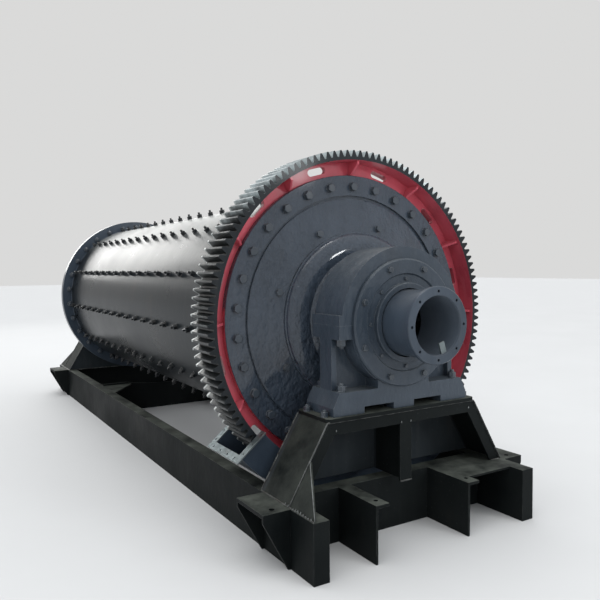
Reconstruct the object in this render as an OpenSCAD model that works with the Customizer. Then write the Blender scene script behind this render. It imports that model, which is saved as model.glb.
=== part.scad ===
// Ball mill on a welded base frame, 1500 mm class.
// A plated drum turns on two hollow trunnions. A spur ring gear is bolted round
// the near end of the drum. Each trunnion runs in a split bearing on a steel stand,
// and both stands sit on two long beams that are tied by cross beams.
// X is to the right, Y runs along the drum away from the gear, Z is up.
// The floor is Z = 0 and the middle of the drum is above the origin. Millimetres.

/* [Drum] */
// distance between the outer faces of the two head flanges
drum_len = 4500; // [4200:50:4800]
// outside radius of the plain shell
shell_r = 775; // [765:1:780]
// shell plate thickness
shell_t = 22; // [16:1:30]
// thickness of the rings welded to the shell ends
shell_flange_t = 36; // [28:1:45]

/* [Heads] */
// how far the bolted flanges stand out past the shell
flange_w = 100; // [85:1:110]
// thickness of the head flange
flange_t = 40; // [34:1:48]
// distance from the shell bore in to the groove of the bolting ring
groove_in = 10; // [5:1:15]
// width of that groove
groove_w = 18; // [12:1:22]
// depth of that groove
groove_d = 16; // [8:1:20]
// radius of the raised hub on the head
hub_r = 525; // [500:5:550]
// height of the hub step
hub_step = 16; // [8:1:24]
// how far the head cone stands out at the hub
cone_rise = 46; // [40:1:56]
// wall thickness of the head
head_t = 46; // [40:1:52]
// how far the neck of the head stands out
neck_out = 185; // [170:1:200]

/* [Trunnions] */
// radius of the running journal
journal_r = 300; // [290:1:305]
// radial running clearance in the bearing liner
journal_gap = 0.3; // [0.1:0.1:0.5]
// inside radius of the journal
journal_bore_r = 200; // [195:1:215]
// outside radius of the feed spout
spout_r = 185; // [180:1:188]
// bore radius of the feed spout
spout_bore_r = 156; // [145:1:165]
// radius of the flange that holds the spout to the journal
spout_seat_r = 262; // [250:1:270]
// thickness of that flange
spout_seat_t = 18; // [14:1:22]
// radius of the flange at the open end
end_flange_r = 208; // [200:1:216]
// thickness of the flange at the open end
end_flange_t = 26; // [18:1:34]
// distance from the bearing centre to the open end
spout_reach = 409; // [395:1:425]
// number of tapped holes in the end flange
end_holes = 8; // [4:1:12]
// radius of those holes
end_hole_r = 8; // [5:0.5:9]
// depth of those holes
end_hole_d = 22; // [12:1:22]
// height of the feed paddle above the bore wall
paddle_h = 62; // [40:1:70]
// width of the feed paddle
paddle_w = 36; // [24:1:48]
// thickness of the feed paddle
paddle_t = 10; // [8:1:14]
// distance of the feed paddle from the open end
paddle_in = 14; // [10:1:60]
// place of the feed paddle in degrees to the right of the lowest point
paddle_angle = 18; // [10:1:30]

/* [Ring gear] */
// number of teeth
gear_teeth = 132; // [120:4:140]
// how far the tooth tips stand out past the bolted flanges
gear_rise = 141; // [137:1:145]
// depth of a tooth from tip to root
tooth_h = 38; // [34:1:40]
// pressure angle in degrees
pressure_angle = 20; // [18:1:22]
// width of the gear along the axis
gear_w = 240; // [230:2:244]
// how far the gear face stands ahead of the head flange
gear_lead = 86; // [82:1:90]
// rim thickness below the teeth
rim_t = 19; // [16:1:30]
// thickness of the web ring
web_t = 30; // [24:1:36]
// number of radial ribs and of slots in the web
web_ribs = 12; // [8:2:16]
// rib plate thickness
rib_t = 14; // [10:1:18]
// how far a rib stays back from the rim face
rib_back = 22; // [16:1:30]
// length of a web slot, end to end
slot_l = 128; // [110:2:140]
// width of a web slot
slot_w = 42; // [36:1:44]

/* [Bearings] */
// distance from the head flange face to the bearing centre
bearing_off = 353; // [346:1:360]
// depth of the bearing housing along the axis
housing_d = 266; // [256:2:270]
// radius of the lower barrel of the housing
barrel_r = 362; // [358:1:368]
// radius of the upper cap
cap_r = 425; // [418:1:428]
// half width over the split flanges
ear_x = 440; // [436:1:450]
// thickness of the lower split flange
ear_low_t = 75; // [60:1:85]
// thickness of the upper split flange
ear_up_t = 55; // [45:1:65]
// wall of the bearing liner
liner_t = 35; // [28:1:38]
// half width of the housing foot at the bottom
foot_x = 480; // [470:1:490]
// half width of the housing foot at the top
foot_top_x = 440; // [438:1:450]
// height of the housing foot
foot_h = 125; // [118:1:128]
// height of the vertical edge at the ends of the foot
foot_edge_h = 45; // [35:1:60]
// half width of the apron between the foot and the barrel
apron_x = 185; // [170:1:200]
// width of the recess slots under the foot
recess_w = 205; // [180:5:220]
// height of the recess slots
recess_h = 36; // [28:1:42]
// distance of each recess centre from the middle
recess_x = 176; // [165:1:185]
// thickness of the web between barrel and side walls
housing_web_t = 44; // [30:2:60]
// thickness of the side walls
wall_t = 32; // [24:1:38]
// depth of the side walls along the axis
wall_d = 112; // [90:2:130]
// thickness of the seal cover plate
cover_t = 24; // [18:1:30]
// radius of the raised ring on the seal cover
cover_ring_r = 267; // [262:1:275]
// outside radius of the seal collar
collar_r = 222; // [216:1:228]
// how far the collar stands out
collar_out = 42; // [36:1:50]
// gap between the collar and the turning spout
seal_gap = 7; // [6:0.5:9]

/* [Stands] */
// height of the drum axis above the stand top
bearing_rise = 480; // [476:1:484]
// half width of the stand top plate
top_x = 533; // [525:1:540]
// depth of the stand along the axis
stand_d = 300; // [290:2:310]
// thickness of the top plate
top_t = 20; // [16:1:24]
// how far the top plate stands out past the frame
top_lip = 6; // [2:1:10]
// corner radius of the top plate
top_corner_r = 28; // [15:1:40]
// how far the foot of a leg stays inside the outer face of the side beam
foot_in = 8; // [6:1:25]
// width of the leg strips on the front and back
leg_w = 84; // [74:1:94]
// height of the strip under the top plate
lintel_h = 68; // [58:1:80]
// width of the middle column
column_w = 82; // [70:1:95]
// thickness of the stand plates
plate_t = 14; // [10:1:18]
// how far the front and back plates are set in from the edges of the side plates
plate_set = 2; // [1:0.5:5]
// how far below the top plate the left side plate starts to flare forward
flare_drop = 182; // [140:2:220]

/* [Base frame] */
// height of all the beams
beam_h = 305; // [290:1:310]
// flange width of all the beams
beam_b = 90; // [80:1:95]
// web thickness of the beams
beam_web = 12; // [9:1:15]
// flange thickness of the beams
beam_flange = 16; // [12:1:20]
// gap between the gear guard and the side beams at the top of the beams
beam_gap = 28; // [22:1:34]
// how far the side beams stand out from the bearing centre
beam_out = 393; // [380:1:400]
// how far the inner stub beams stand out from the bearing centre
stub_out = 374; // [345:1:382]
// flange width of the inner stub beams
stub_b = 84; // [74:1:92]
// left face of the left inner stub beam
stub_left_x = -388; // [-410:1:-370]
// left face of the right inner stub beam
stub_right_x = 260; // [240:1:272]
// how far the cross beam below a stand reaches ahead of the bearing centre
cross_front = 40; // [30:1:50]
// radius of the bolt hole in an inner stub beam
stub_hole_r = 13; // [9:1:16]
// distance of that hole from the end of the stub beam
stub_hole_in = 67; // [55:1:80]
// reach of the outrigger feet past the side beams
rigger_out = 155; // [140:5:170]
// length of an outrigger foot along the beam
rigger_l = 296; // [270:2:310]
// how far an outrigger foot reaches ahead of the bearing centre
rigger_front = 178; // [165:1:190]
// height of the lip at the outer edge of a foot
rigger_lip = 24; // [18:1:34]
// thickness of the outrigger plate
rigger_t = 20; // [16:1:26]
// radius of the foundation bolt holes
bolt_hole_r = 15; // [10:1:20]
// distance of the bolt hole ahead of the bearing centre
bolt_hole_y = 125; // [110:1:135]
// distance from the bearing centre to the front edge of the deck plate
deck_front = 297; // [250:1:320]
// thickness of the deck plate
deck_t = 12; // [8:1:16]
// position of the tie beam along the drum axis
tie_y = 1264; // [1150:10:1400]
// thickness of the tie beam plate
tie_t = 16; // [12:1:24]
// depth of the shallow arc cut in the tie beam
tie_dip = 40; // [20:2:60]
// length of a corner plate along the side beam
corner_l = 460; // [380:10:520]
// length of a corner plate along the tie beam
corner_w = 300; // [240:10:340]
// thickness of the corner plates
corner_t = 14; // [10:1:18]

/* [Gear guard] */
// clear gap beside the gear inside the guard
guard_side = 35; // [28:1:40]
// clear gap from tooth tip to the guard
guard_gap = 94; // [86:1:98]
// sheet thickness
guard_t = 6; // [5:1:8]
// height of the guard above the floor
guard_floor = 90; // [85:1:105]
// how far the guard sides reach in past the tooth tips
guard_depth = 86; // [76:1:101]
// half of the arc the guard covers, in degrees
guard_half = 50; // [46:1:51]
// width of the bolting flange round each open end
guard_lip = 42; // [34:1:46]
// thickness of the bolting flange
guard_lip_t = 8; // [6:1:10]
// radius of the bolt holes in the bolting flange
guard_hole_r = 6; // [4:0.5:7]
// distance of the saddle plates from the middle
guard_foot_x = 330; // [280:5:360]
// thickness of the saddle plates
guard_foot_t = 12; // [8:1:16]
// width of the flat bar below the guard
guard_bar_w = 140; // [100:5:180]

/* [Output] */
// which piece to draw

/* [Hidden] */
$fn = 192;
over = 1;
shell_in_r = shell_r - shell_t;
groove_r = shell_in_r - groove_in;
flange_r = shell_r + flange_w;
gear_tip_r = flange_r + gear_rise;
guard_out_r = gear_tip_r + guard_gap;
guard_in_r = gear_tip_r - guard_depth;
axis_h = guard_out_r + guard_floor;
stand_h = axis_h - bearing_rise;
half_len = drum_len / 2;
bearing_y = half_len + bearing_off;
liner_r = journal_r + journal_gap;
liner_out_r = liner_r + liner_t;
neck_r = journal_r + 30;
journal_start = neck_out;
journal_end = bearing_off + housing_d / 2 - 33;
cover_bore_r = spout_r + seal_gap;
rim_in_r = gear_tip_r - tooth_h - rim_t;
rib_foot_r = flange_r + 4;
guard_half_w = gear_w / 2 + guard_side + guard_t;
gear_mid_y = gear_lead - gear_w / 2;
beam_in_x = round(sqrt(pow(guard_out_r, 2) - pow(axis_h - beam_h, 2)) + beam_gap);
base_x = beam_in_x + beam_b;
frame_top = stand_h - top_t;
leg_top_x = top_x - 2;
leg_foot_x = base_x - foot_in;
leg_slope = (leg_foot_x - leg_top_x) / (frame_top - beam_h);
leg_angle = atan(leg_slope);
slant = plate_t / cos(leg_angle);

// Shared colours
slate = [0.22, 0.26, 0.29];
frame_black = [0.10, 0.11, 0.11];
web_red = [0.60, 0.10, 0.13];
bare_steel = [0.62, 0.63, 0.62];
bronze = [0.60, 0.45, 0.25];

// Turns a shape whose +Z points out of the near head into place.
module near_end() {
  translate([0, -half_len, axis_h]) rotate([90, 0, 0]) children();
}

// The same at the far end.
module far_end() {
  mirror([0, 1, 0]) near_end() children();
}

// Moves a shape from the bearing centre line of one end into place.
module near_stand() {
  translate([0, -bearing_y, 0]) children();
}

module far_stand() {
  mirror([0, 1, 0]) near_stand() children();
}

// Both sides of the mill.
module both_sides() {
  children();
  mirror([1, 0, 0]) children();
}

// Round ring standing on Z = 0.
module ring(h, r_out, r_in) {
  difference() {
    cylinder(h = h, r = r_out);
    translate([0, 0, -over]) cylinder(h = h + 2 * over, r = r_in);
  }
}

// Cylinder along Y through the drum axis, from one Y to another.
module axis_cylinder(y0, y1, r) {
  translate([0, y0, axis_h]) rotate([-90, 0, 0]) cylinder(h = y1 - y0, r = r);
}

// Plate from a profile in X and Z, with its front face at Y = y0.
module xz_plate(y0, t) {
  translate([0, y0 + t, 0]) rotate([90, 0, 0]) linear_extrude(height = t) children();
}

// Drum

module shell() {
  color(slate) translate([0, -half_len + flange_t, axis_h]) rotate([-90, 0, 0])
    ring(drum_len - 2 * flange_t, shell_r, shell_in_r);
}

module shell_flange(back) {
  translate([0, 0, -back - shell_flange_t]) ring(shell_flange_t, flange_r, shell_r);
}

module shell_flange_near() {
  color(slate) near_end() shell_flange(flange_t + web_t);
}

module shell_flange_far() {
  color(slate) far_end() shell_flange(flange_t);
}

// Head: a bolting ring, a groove, a low cone, a stepped hub and a neck.
module head() {
  groove_out = groove_r + groove_w / 2;
  groove_in = groove_r - groove_w / 2;
  inner_r = groove_in - 14;
  rotate_extrude() polygon([
    [flange_r, -flange_t],
    [flange_r, -3],
    [flange_r - 3, 0],
    [groove_out, 0],
    [groove_out, -groove_d],
    [groove_in, -groove_d],
    [groove_in, -4],
    [groove_in - 8, 0],
    [hub_r, cone_rise],
    [hub_r, cone_rise + hub_step],
    [hub_r - 14, cone_rise + hub_step + 4],
    [neck_r + 70, neck_out - 78],
    [neck_r + 20, neck_out - 44],
    [neck_r, neck_out - 12],
    [neck_r, neck_out],
    [journal_bore_r, neck_out],
    [journal_bore_r, neck_out - 100],
    [neck_r + 40, neck_out - 78 - head_t],
    [hub_r, cone_rise - head_t],
    [inner_r, -flange_t - 4],
    [inner_r, -flange_t]
  ]);
}

module head_near() {
  color(slate) near_end() head();
}

module head_far() {
  color(slate) far_end() head();
}

// Journal that runs in the bearing.
module trunnion() {
  translate([0, 0, journal_start])
    ring(journal_end - journal_start, journal_r, journal_bore_r);
}

module trunnion_near() {
  color(bare_steel) near_end() trunnion();
}

module trunnion_far() {
  color(bare_steel) far_end() trunnion();
}

// Flanged tube bolted to the end of the journal, with tapped holes in the open end.
module spout() {
  tip = bearing_off + spout_reach;
  difference() {
    spout_tube(tip);
    for (n = [0 : end_holes - 1])
      rotate([0, 0, 90 + n * 360 / end_holes])
        translate([(spout_bore_r + end_flange_r) / 2, 0, tip - end_hole_d])
          cylinder(h = end_hole_d + over, r = end_hole_r, $fn = 48);
  }
}

module spout_tube(tip) {
  rotate_extrude() polygon([
    [spout_bore_r, journal_end],
    [spout_seat_r, journal_end],
    [spout_seat_r, journal_end + spout_seat_t],
    [spout_r, journal_end + spout_seat_t],
    [spout_r, tip - end_flange_t],
    [end_flange_r - 3, tip - end_flange_t],
    [end_flange_r, tip - end_flange_t + 3],
    [end_flange_r, tip - 4],
    [end_flange_r - 4, tip],
    [spout_bore_r + 6, tip],
    [spout_bore_r, tip - 6]
  ]);
}

module feed_spout() {
  color(slate) near_end() spout();
}

module discharge_spout() {
  color(slate) far_end() spout();
}

// Bare paddle in the near mouth that pushes the feed inwards, seated on the bore wall.
module feed_paddle() {
  tip = bearing_off + spout_reach;
  color(bare_steel) near_end() rotate([0, 0, -90 + paddle_angle]) intersection() {
    translate([0, 0, journal_end]) cylinder(h = tip - journal_end, r = spout_bore_r);
    translate([spout_bore_r - paddle_h / 2 + over, 0, tip - paddle_in])
      cube([paddle_h + 2 * over, paddle_w, paddle_t], center = true);
  }
}

// Ring gear

module_mm = 2 * gear_tip_r / (gear_teeth + 2);
pitch_r = module_mm * gear_teeth / 2;
root_r = gear_tip_r - tooth_h;
base_r = pitch_r * cos(pressure_angle);
tooth_half = 90 / gear_teeth - 0.04;

// Involute angle in degrees at a radius outside the base circle.
function roll(r) = let (c = acos(min(1, base_r / r))) tan(c) * 180 / PI - c;

// Half thickness of a tooth as an angle at a radius.
function half_angle(r) = tooth_half + roll(pitch_r) - roll(max(r, base_r));

// Corner of a flank. side is -1 or 1, r the radius, n the tooth.
function flank(n, side, r) =
  let (a = n * 360 / gear_teeth + side * half_angle(r)) [r * cos(a), r * sin(a)];

flank_r = [root_r, pitch_r - module_mm * 0.35, pitch_r + module_mm * 0.25, gear_tip_r];

// Rim with all its teeth as one outline.
module ring_gear() {
  up = [0, 1, 2, 3];
  outline = [for (n = [0 : gear_teeth - 1])
    each concat(
      [for (i = up) flank(n, -1, flank_r[i])],
      [for (i = up) flank(n, 1, flank_r[3 - i])]
    )];
  color(bare_steel) near_end() translate([0, 0, gear_mid_y - gear_w / 2])
    difference() {
      linear_extrude(height = gear_w) polygon(outline);
      translate([0, 0, -over]) cylinder(h = gear_w + 2 * over, r = rim_in_r);
    }
}

// Oblong slot cut along the circumference.
module web_slot(r) {
  translate([r, 0, 0]) {
    cube([slot_w, slot_l - slot_w, web_t + 2 * over], center = true);
    for (s = [-1, 1])
      translate([0, s * (slot_l - slot_w) / 2, 0])
        cylinder(h = web_t + 2 * over, r = slot_w / 2, center = true);
  }
}

// Web ring with ribs that stiffen the rim, front and back.
module gear_web() {
  slot_r = (rib_foot_r + rim_in_r) / 2;
  front = gear_mid_y + gear_w / 2 - rib_back;
  back = gear_mid_y - gear_w / 2 + rib_back;
  color(web_red) near_end() intersection() {
    difference() {
      union() {
        translate([0, 0, -flange_t - web_t]) cylinder(h = web_t, r = rim_in_r + 20);
        for (n = [0 : web_ribs - 1])
          rotate([0, 0, 90 + n * 360 / web_ribs]) web_rib(front, back);
      }
      translate([0, 0, -flange_t - web_t - over]) cylinder(h = web_t + 2 * over, r = shell_r);
      for (n = [0 : web_ribs - 1])
        rotate([0, 0, 90 + (n + 0.5) * 360 / web_ribs])
          translate([0, 0, -flange_t - web_t / 2]) web_slot(slot_r);
    }
    translate([0, 0, back - over]) cylinder(h = front - back + 2 * over, r = rim_in_r);
  }
}

// One rib, which goes through the web from the front to the back of the rim.
module web_rib(front, back) {
  rotate([90, 0, 0]) translate([0, 0, -rib_t / 2]) linear_extrude(height = rib_t)
    polygon([
      [rib_foot_r, -flange_t - over],
      [rib_foot_r, -flange_t + 30],
      [rim_in_r - 20, front],
      [rim_in_r + 10, front],
      [rim_in_r + 10, back],
      [rim_in_r - 20, back],
      [rib_foot_r, -flange_t - web_t - shell_flange_t],
      [rib_foot_r, -flange_t - web_t + over]
    ]);
}

// Bearings

// Lower half of the housing with its foot.
module bearing_foot() {
  split = axis_h;
  top = stand_h + foot_h;
  apron_h = split - top - sqrt(pow(barrel_r, 2) - pow(apron_x, 2)) + 4;
  difference() {
    union() {
      translate([-apron_x, -housing_d / 2, top - over])
        cube([2 * apron_x, housing_d, apron_h + over]);
      xz_plate(-housing_d / 2, housing_d) polygon([
        [-foot_x, stand_h],
        [foot_x, stand_h],
        [foot_x, stand_h + foot_edge_h],
        [foot_top_x, top],
        [-foot_top_x, top],
        [-foot_x, stand_h + foot_edge_h]
      ]);
      translate([-ear_x, -housing_web_t / 2, top - over])
        cube([2 * ear_x, housing_web_t, split - top + over]);
      for (x = [-ear_x, ear_x - wall_t])
        translate([x, -wall_d / 2, top - over]) cube([wall_t, wall_d, split - top + over]);
      translate([-ear_x, -housing_d / 2, split - ear_low_t])
        cube([2 * ear_x, housing_d, ear_low_t]);
      intersection() {
        axis_cylinder(-housing_d / 2, housing_d / 2, barrel_r);
        translate([-barrel_r, -housing_d / 2, stand_h])
          cube([2 * barrel_r, housing_d, split - stand_h]);
      }
    }
    axis_cylinder(-housing_d / 2 - over, housing_d / 2 + over, liner_out_r);
    for (x = [-recess_x, recess_x])
      translate([x - recess_w / 2, -housing_d / 2 - over, stand_h - over])
        cube([recess_w, housing_d + 2 * over, recess_h + over]);
  }
}

module bearing_foot_near() {
  color(slate) near_stand() bearing_foot();
}

module bearing_foot_far() {
  color(slate) far_stand() bearing_foot();
}

// Upper half of the housing.
module bearing_cap() {
  difference() {
    union() {
      intersection() {
        axis_cylinder(-housing_d / 2, housing_d / 2, cap_r);
        translate([-cap_r, -housing_d / 2, axis_h])
          cube([2 * cap_r, housing_d, cap_r + over]);
      }
      translate([-ear_x, -housing_d / 2, axis_h]) cube([2 * ear_x, housing_d, ear_up_t]);
    }
    axis_cylinder(-housing_d / 2 - over, housing_d / 2 + over, liner_out_r);
  }
}

module bearing_cap_near() {
  color(slate) near_stand() bearing_cap();
}

module bearing_cap_far() {
  color(slate) far_stand() bearing_cap();
}

// Round liner held between the two halves.
module bearing_liner() {
  difference() {
    axis_cylinder(-housing_d / 2, housing_d / 2, liner_out_r);
    axis_cylinder(-housing_d / 2 - over, housing_d / 2 + over, liner_r);
  }
}

module bearing_liner_near() {
  color(bronze) near_stand() bearing_liner();
}

module bearing_liner_far() {
  color(bronze) far_stand() bearing_liner();
}

// Stepped cover that closes the outer face round the spout.
module seal_cover() {
  translate([0, -housing_d / 2, axis_h]) rotate([90, 0, 0]) rotate_extrude() polygon([
    [cover_bore_r, 0],
    [barrel_r - 4, 0],
    [barrel_r - 4, cover_t - 8],
    [barrel_r - 12, cover_t],
    [cover_ring_r + 8, cover_t],
    [cover_ring_r, cover_t - 10],
    [collar_r, cover_t - 10],
    [collar_r, collar_out - 3],
    [collar_r - 3, collar_out],
    [cover_bore_r, collar_out]
  ]);
}

module seal_cover_near() {
  color(slate) near_stand() seal_cover();
}

module seal_cover_far() {
  color(slate) far_stand() seal_cover();
}

// Stands

// Top plate with rounded corners.
module stand_top() {
  x = top_x;
  y = stand_d / 2 + top_lip;
  r = top_corner_r;
  translate([-x + r, -y, frame_top]) cube([2 * (x - r), 2 * y, top_t]);
  translate([-x, -y + r, frame_top]) cube([2 * x, 2 * (y - r), top_t]);
  for (sx = [-1, 1], sy = [-1, 1])
    translate([sx * (x - r), sy * (y - r), frame_top]) cylinder(h = top_t, r = r);
}

module stand_top_near() {
  color(frame_black) near_stand() stand_top();
}

module stand_top_far() {
  color(frame_black) far_stand() stand_top();
}

// Front face of the stand: legs, strip and middle column in one plate.
module stand_face() {
  lintel_z = frame_top - lintel_h;
  in_top = leg_top_x - leg_w + leg_slope * lintel_h;
  in_foot = leg_foot_x - leg_w;
  xz_plate(0, plate_t) difference() {
    leg_outline(beam_h - over);
    for (s = [-1, 1])
      polygon([
        [s * column_w / 2, beam_h - 2 * over],
        [s * (in_foot + 2 * leg_slope * over), beam_h - 2 * over],
        [s * in_top, lintel_z],
        [s * column_w / 2, lintel_z]
      ]);
  }
}

// Outline between the middles of the two side plates, from a height to just past the top.
module leg_outline(low) {
  high = frame_top + over;
  low_x = leg_top_x + leg_slope * (frame_top - low) - slant / 2;
  high_x = leg_top_x - leg_slope * over - slant / 2;
  polygon([[-low_x, low], [low_x, low], [high_x, high], [-high_x, high]]);
}

// Sloping side plate. front is how far its foot reaches ahead of the bearing centre.
module stand_side(front) {
  down = (frame_top - beam_h) / cos(leg_angle);
  flare = flare_drop / cos(leg_angle);
  edge = -stand_d / 2;
  past = plate_t;
  past_front = -front - past * (front + edge) / (down - flare);
  translate([leg_top_x, 0, frame_top]) rotate([0, 90 - leg_angle, 0])
    translate([0, 0, -plate_t]) linear_extrude(height = plate_t) polygon([
      [-past, edge],
      [flare, edge],
      [down + past, past_front],
      [down + past, -edge],
      [-past, -edge]
    ]);
}

// Stand with an open front, a closed back, and a left side that flares forward.
module stand_frame() {
  intersection() {
    union() {
      translate([0, -stand_d / 2 + plate_set, 0]) stand_face();
      xz_plate(stand_d / 2 - plate_set - plate_t, plate_t) leg_outline(beam_h - over);
      stand_side(stand_d / 2);
      mirror([1, 0, 0]) stand_side(beam_out - 6);
      translate([-plate_t / 2, -stand_d / 2 + plate_set + over, beam_h - over])
        cube([plate_t, stand_d - 2 * (plate_set + over), frame_top - beam_h + 2 * over]);
      for (sy = [-1, 1])
        xz_plate(sy * stand_d / 4 - plate_t / 2, plate_t) leg_outline(frame_top - lintel_h);
    }
    translate([-base_x, -beam_out, beam_h])
      cube([2 * base_x, beam_out + stand_d, frame_top - beam_h]);
  }
}

module stand_frame_near() {
  color(frame_black) near_stand() stand_frame();
}

module stand_frame_far() {
  color(frame_black) far_stand() stand_frame();
}

// Base frame

// Channel profile in X and Z, open towards +X.
module channel_profile() {
  polygon([
    [0, 0],
    [beam_b, 0],
    [beam_b, beam_flange],
    [beam_web, beam_flange],
    [beam_web, beam_h - beam_flange],
    [beam_b, beam_h - beam_flange],
    [beam_b, beam_h],
    [0, beam_h]
  ]);
}

// Channel across the frame below a stand, with its web to the outside.
module cross_beam() {
  translate([-beam_in_x, -cross_front, 0]) rotate([90, 0, 90])
    linear_extrude(height = 2 * beam_in_x) channel_profile();
}

module cross_beam_near() {
  color(frame_black) near_stand() cross_beam();
}

module cross_beam_far() {
  color(frame_black) far_stand() cross_beam();
}

// Inner stub beams that run forward from the cross beam: a web with a top flange.
module stub_beams() {
  for (x = [stub_left_x, stub_right_x])
    difference() {
      translate([x, 0, 0]) xz_plate(-stub_out, stub_out - cross_front) polygon([
        [0, 0],
        [beam_web, 0],
        [beam_web, beam_h - beam_flange],
        [stub_b, beam_h - beam_flange],
        [stub_b, beam_h],
        [0, beam_h]
      ]);
      translate([x + (stub_b + beam_web) / 2, stub_hole_in - stub_out, beam_h - beam_flange - over])
        cylinder(h = beam_flange + 2 * over, r = stub_hole_r, $fn = 48);
    }
}

module stub_beams_near() {
  color(frame_black) near_stand() stub_beams();
}

module stub_beams_far() {
  color(frame_black) far_stand() stub_beams();
}

// Long side beam, boxed where it passes a stand end.
module side_beam() {
  end = bearing_y + beam_out;
  box_l = beam_out - cross_front;
  translate([-base_x, 0, 0]) {
    xz_plate(-end, 2 * end) channel_profile();
    for (s = [0, 1])
      mirror([0, s, 0]) {
        translate([beam_b - beam_web, -end, beam_flange - over])
          cube([beam_web, box_l, beam_h - 2 * (beam_flange - over)]);
        translate([over, -end, over]) cube([beam_b - 2 * over, beam_web, beam_h - 2 * over]);
      }
  }
}

module side_beam_left() {
  color(frame_black) side_beam();
}

module side_beam_right() {
  color(frame_black) mirror([1, 0, 0]) side_beam();
}

// Foot plates with a foundation bolt hole and ribs below, on both sides.
module outriggers() {
  both_sides() translate([base_x, -rigger_front, 0]) {
    difference() {
      translate([0, 0, beam_h - rigger_t]) cube([rigger_out, rigger_l, rigger_t]);
      translate([rigger_out / 2, rigger_front - bolt_hole_y, beam_h - rigger_t - over])
        cylinder(h = rigger_t + 2 * over, r = bolt_hole_r, $fn = 48);
    }
    for (y = [0, rigger_l - plate_t])
      xz_plate(y, plate_t) polygon([
        [0, 0],
        [14, 0],
        [rigger_out, beam_h - rigger_t - rigger_lip],
        [rigger_out, beam_h - rigger_t + over],
        [0, beam_h - rigger_t + over]
      ]);
  }
}

module outriggers_near() {
  color(frame_black) near_stand() outriggers();
}

module outriggers_far() {
  color(frame_black) far_stand() outriggers();
}

// Deck plate that closes the top between the right stub beam and the side beam.
module deck_plate() {
  left = stub_right_x + stub_b;
  color(frame_black) near_stand() translate([left, -deck_front, beam_h - deck_t])
    cube([beam_in_x - left, deck_front - cross_front, deck_t]);
}

// Tie beam between the side beams with a shallow arc in its top edge.
module tie_beam() {
  arc_w = 2 * beam_in_x * 0.62;
  arc_r = (arc_w * arc_w / 4 + tie_dip * tie_dip) / (2 * tie_dip);
  color(frame_black) difference() {
    union() {
      translate([-beam_in_x, tie_y, 0]) cube([2 * beam_in_x, tie_t, beam_h]);
      translate([-beam_in_x, tie_y, 0]) cube([2 * beam_in_x, beam_b, beam_flange]);
    }
    translate([0, tie_y - over, beam_h - tie_dip + arc_r])
      rotate([-90, 0, 0]) cylinder(h = tie_t + 2 * over, r = arc_r, $fn = 192);
  }
}

// Flat corner plates between the tie beam and the side beams.
module corner_plates() {
  color(frame_black) both_sides()
    translate([0, 0, beam_h - beam_flange - corner_t]) linear_extrude(height = corner_t)
      polygon([
        [-base_x + beam_web, tie_y],
        [-base_x + beam_web, tie_y - corner_l],
        [-beam_in_x, tie_y - corner_l],
        [-beam_in_x + corner_w, tie_y - 40],
        [-beam_in_x + corner_w, tie_y]
      ]);
}

// Gear guard

// Places a shape drawn in the plane of the gear, with Z along the axis outwards.
module gear_plane() {
  near_end() translate([0, 0, gear_mid_y]) children();
}

module gear_guard() {
  w = guard_half_w;
  t = guard_t;
  color(slate) gear_plane() rotate([0, 0, -90 - guard_half])
    rotate_extrude(angle = 2 * guard_half, $fn = 360) polygon([
      [guard_in_r, -w],
      [guard_out_r + t, -w],
      [guard_out_r + t, w],
      [guard_in_r, w],
      [guard_in_r, w - t],
      [guard_out_r, w - t],
      [guard_out_r, -w + t],
      [guard_in_r, -w + t]
    ]);
}

// Bolting flange round each open end of the guard, with its row of holes.
module guard_flanges() {
  w = guard_half_w + guard_lip;
  in_w = guard_half_w - guard_t;
  out_r = guard_out_r + guard_t;
  row_w = w - guard_lip / 2;
  row_r = out_r + guard_lip / 2;
  color(bare_steel) gear_plane() for (s = [0, 1])
    mirror([s, 0, 0]) rotate([0, 0, -90 + guard_half]) rotate([90, 0, 0])
      mirror([0, 0, 1]) linear_extrude(height = guard_lip_t) difference() {
        translate([guard_in_r, -w]) square([out_r + guard_lip - guard_in_r, 2 * w]);
        translate([guard_in_r - over, -in_w]) square([guard_out_r - guard_in_r + over, 2 * in_w]);
        for (side = [-1, 1], n = [0 : 2])
          translate([guard_in_r + (n + 0.3) * (out_r - guard_in_r) / 2.6, side * row_w])
            circle(r = guard_hole_r, $fn = 48);
        for (n = [-1.5 : 1.5]) translate([row_r, n * row_w / 2]) circle(r = guard_hole_r, $fn = 48);
      }
}

// Cradle below the guard: a flat bar between the side beams with two saddle plates.
module guard_feet() {
  r = guard_out_r + guard_t;
  y = -half_len - gear_mid_y;
  color(slate) difference() {
    union() {
      translate([-beam_in_x, y - guard_bar_w / 2, 0])
        cube([2 * beam_in_x, guard_bar_w, beam_flange]);
      for (s = [-1, 1])
        translate([s * guard_foot_x - guard_foot_t / 2, y - guard_half_w, 0])
          cube([guard_foot_t, 2 * guard_half_w, axis_h - gear_tip_r]);
    }
    axis_cylinder(y - guard_half_w - over, y + guard_half_w + over, r, $fn = 360);
  }
}

shell();
shell_flange_near();
shell_flange_far();
head_near();
head_far();
trunnion_near();
trunnion_far();
feed_spout();
discharge_spout();
feed_paddle();
ring_gear();
gear_web();
bearing_foot_near();
bearing_foot_far();
bearing_cap_near();
bearing_cap_far();
bearing_liner_near();
bearing_liner_far();
seal_cover_near();
seal_cover_far();
stand_top_near();
stand_top_far();
stand_frame_near();
stand_frame_far();
cross_beam_near();
cross_beam_far();
stub_beams_near();
stub_beams_far();
side_beam_left();
side_beam_right();
outriggers_near();
outriggers_far();
deck_plate();
tie_beam();
corner_plates();
gear_guard();
guard_flanges();
guard_feet();
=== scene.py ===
"""Dresses the ball mill: fasteners, welds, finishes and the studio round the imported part.

Everything is in metres in the frame of the part. X is to the right, Y runs along the
drum away from the gear, Z is up and the floor is Z = 0. Angles are in degrees.
"""

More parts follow.
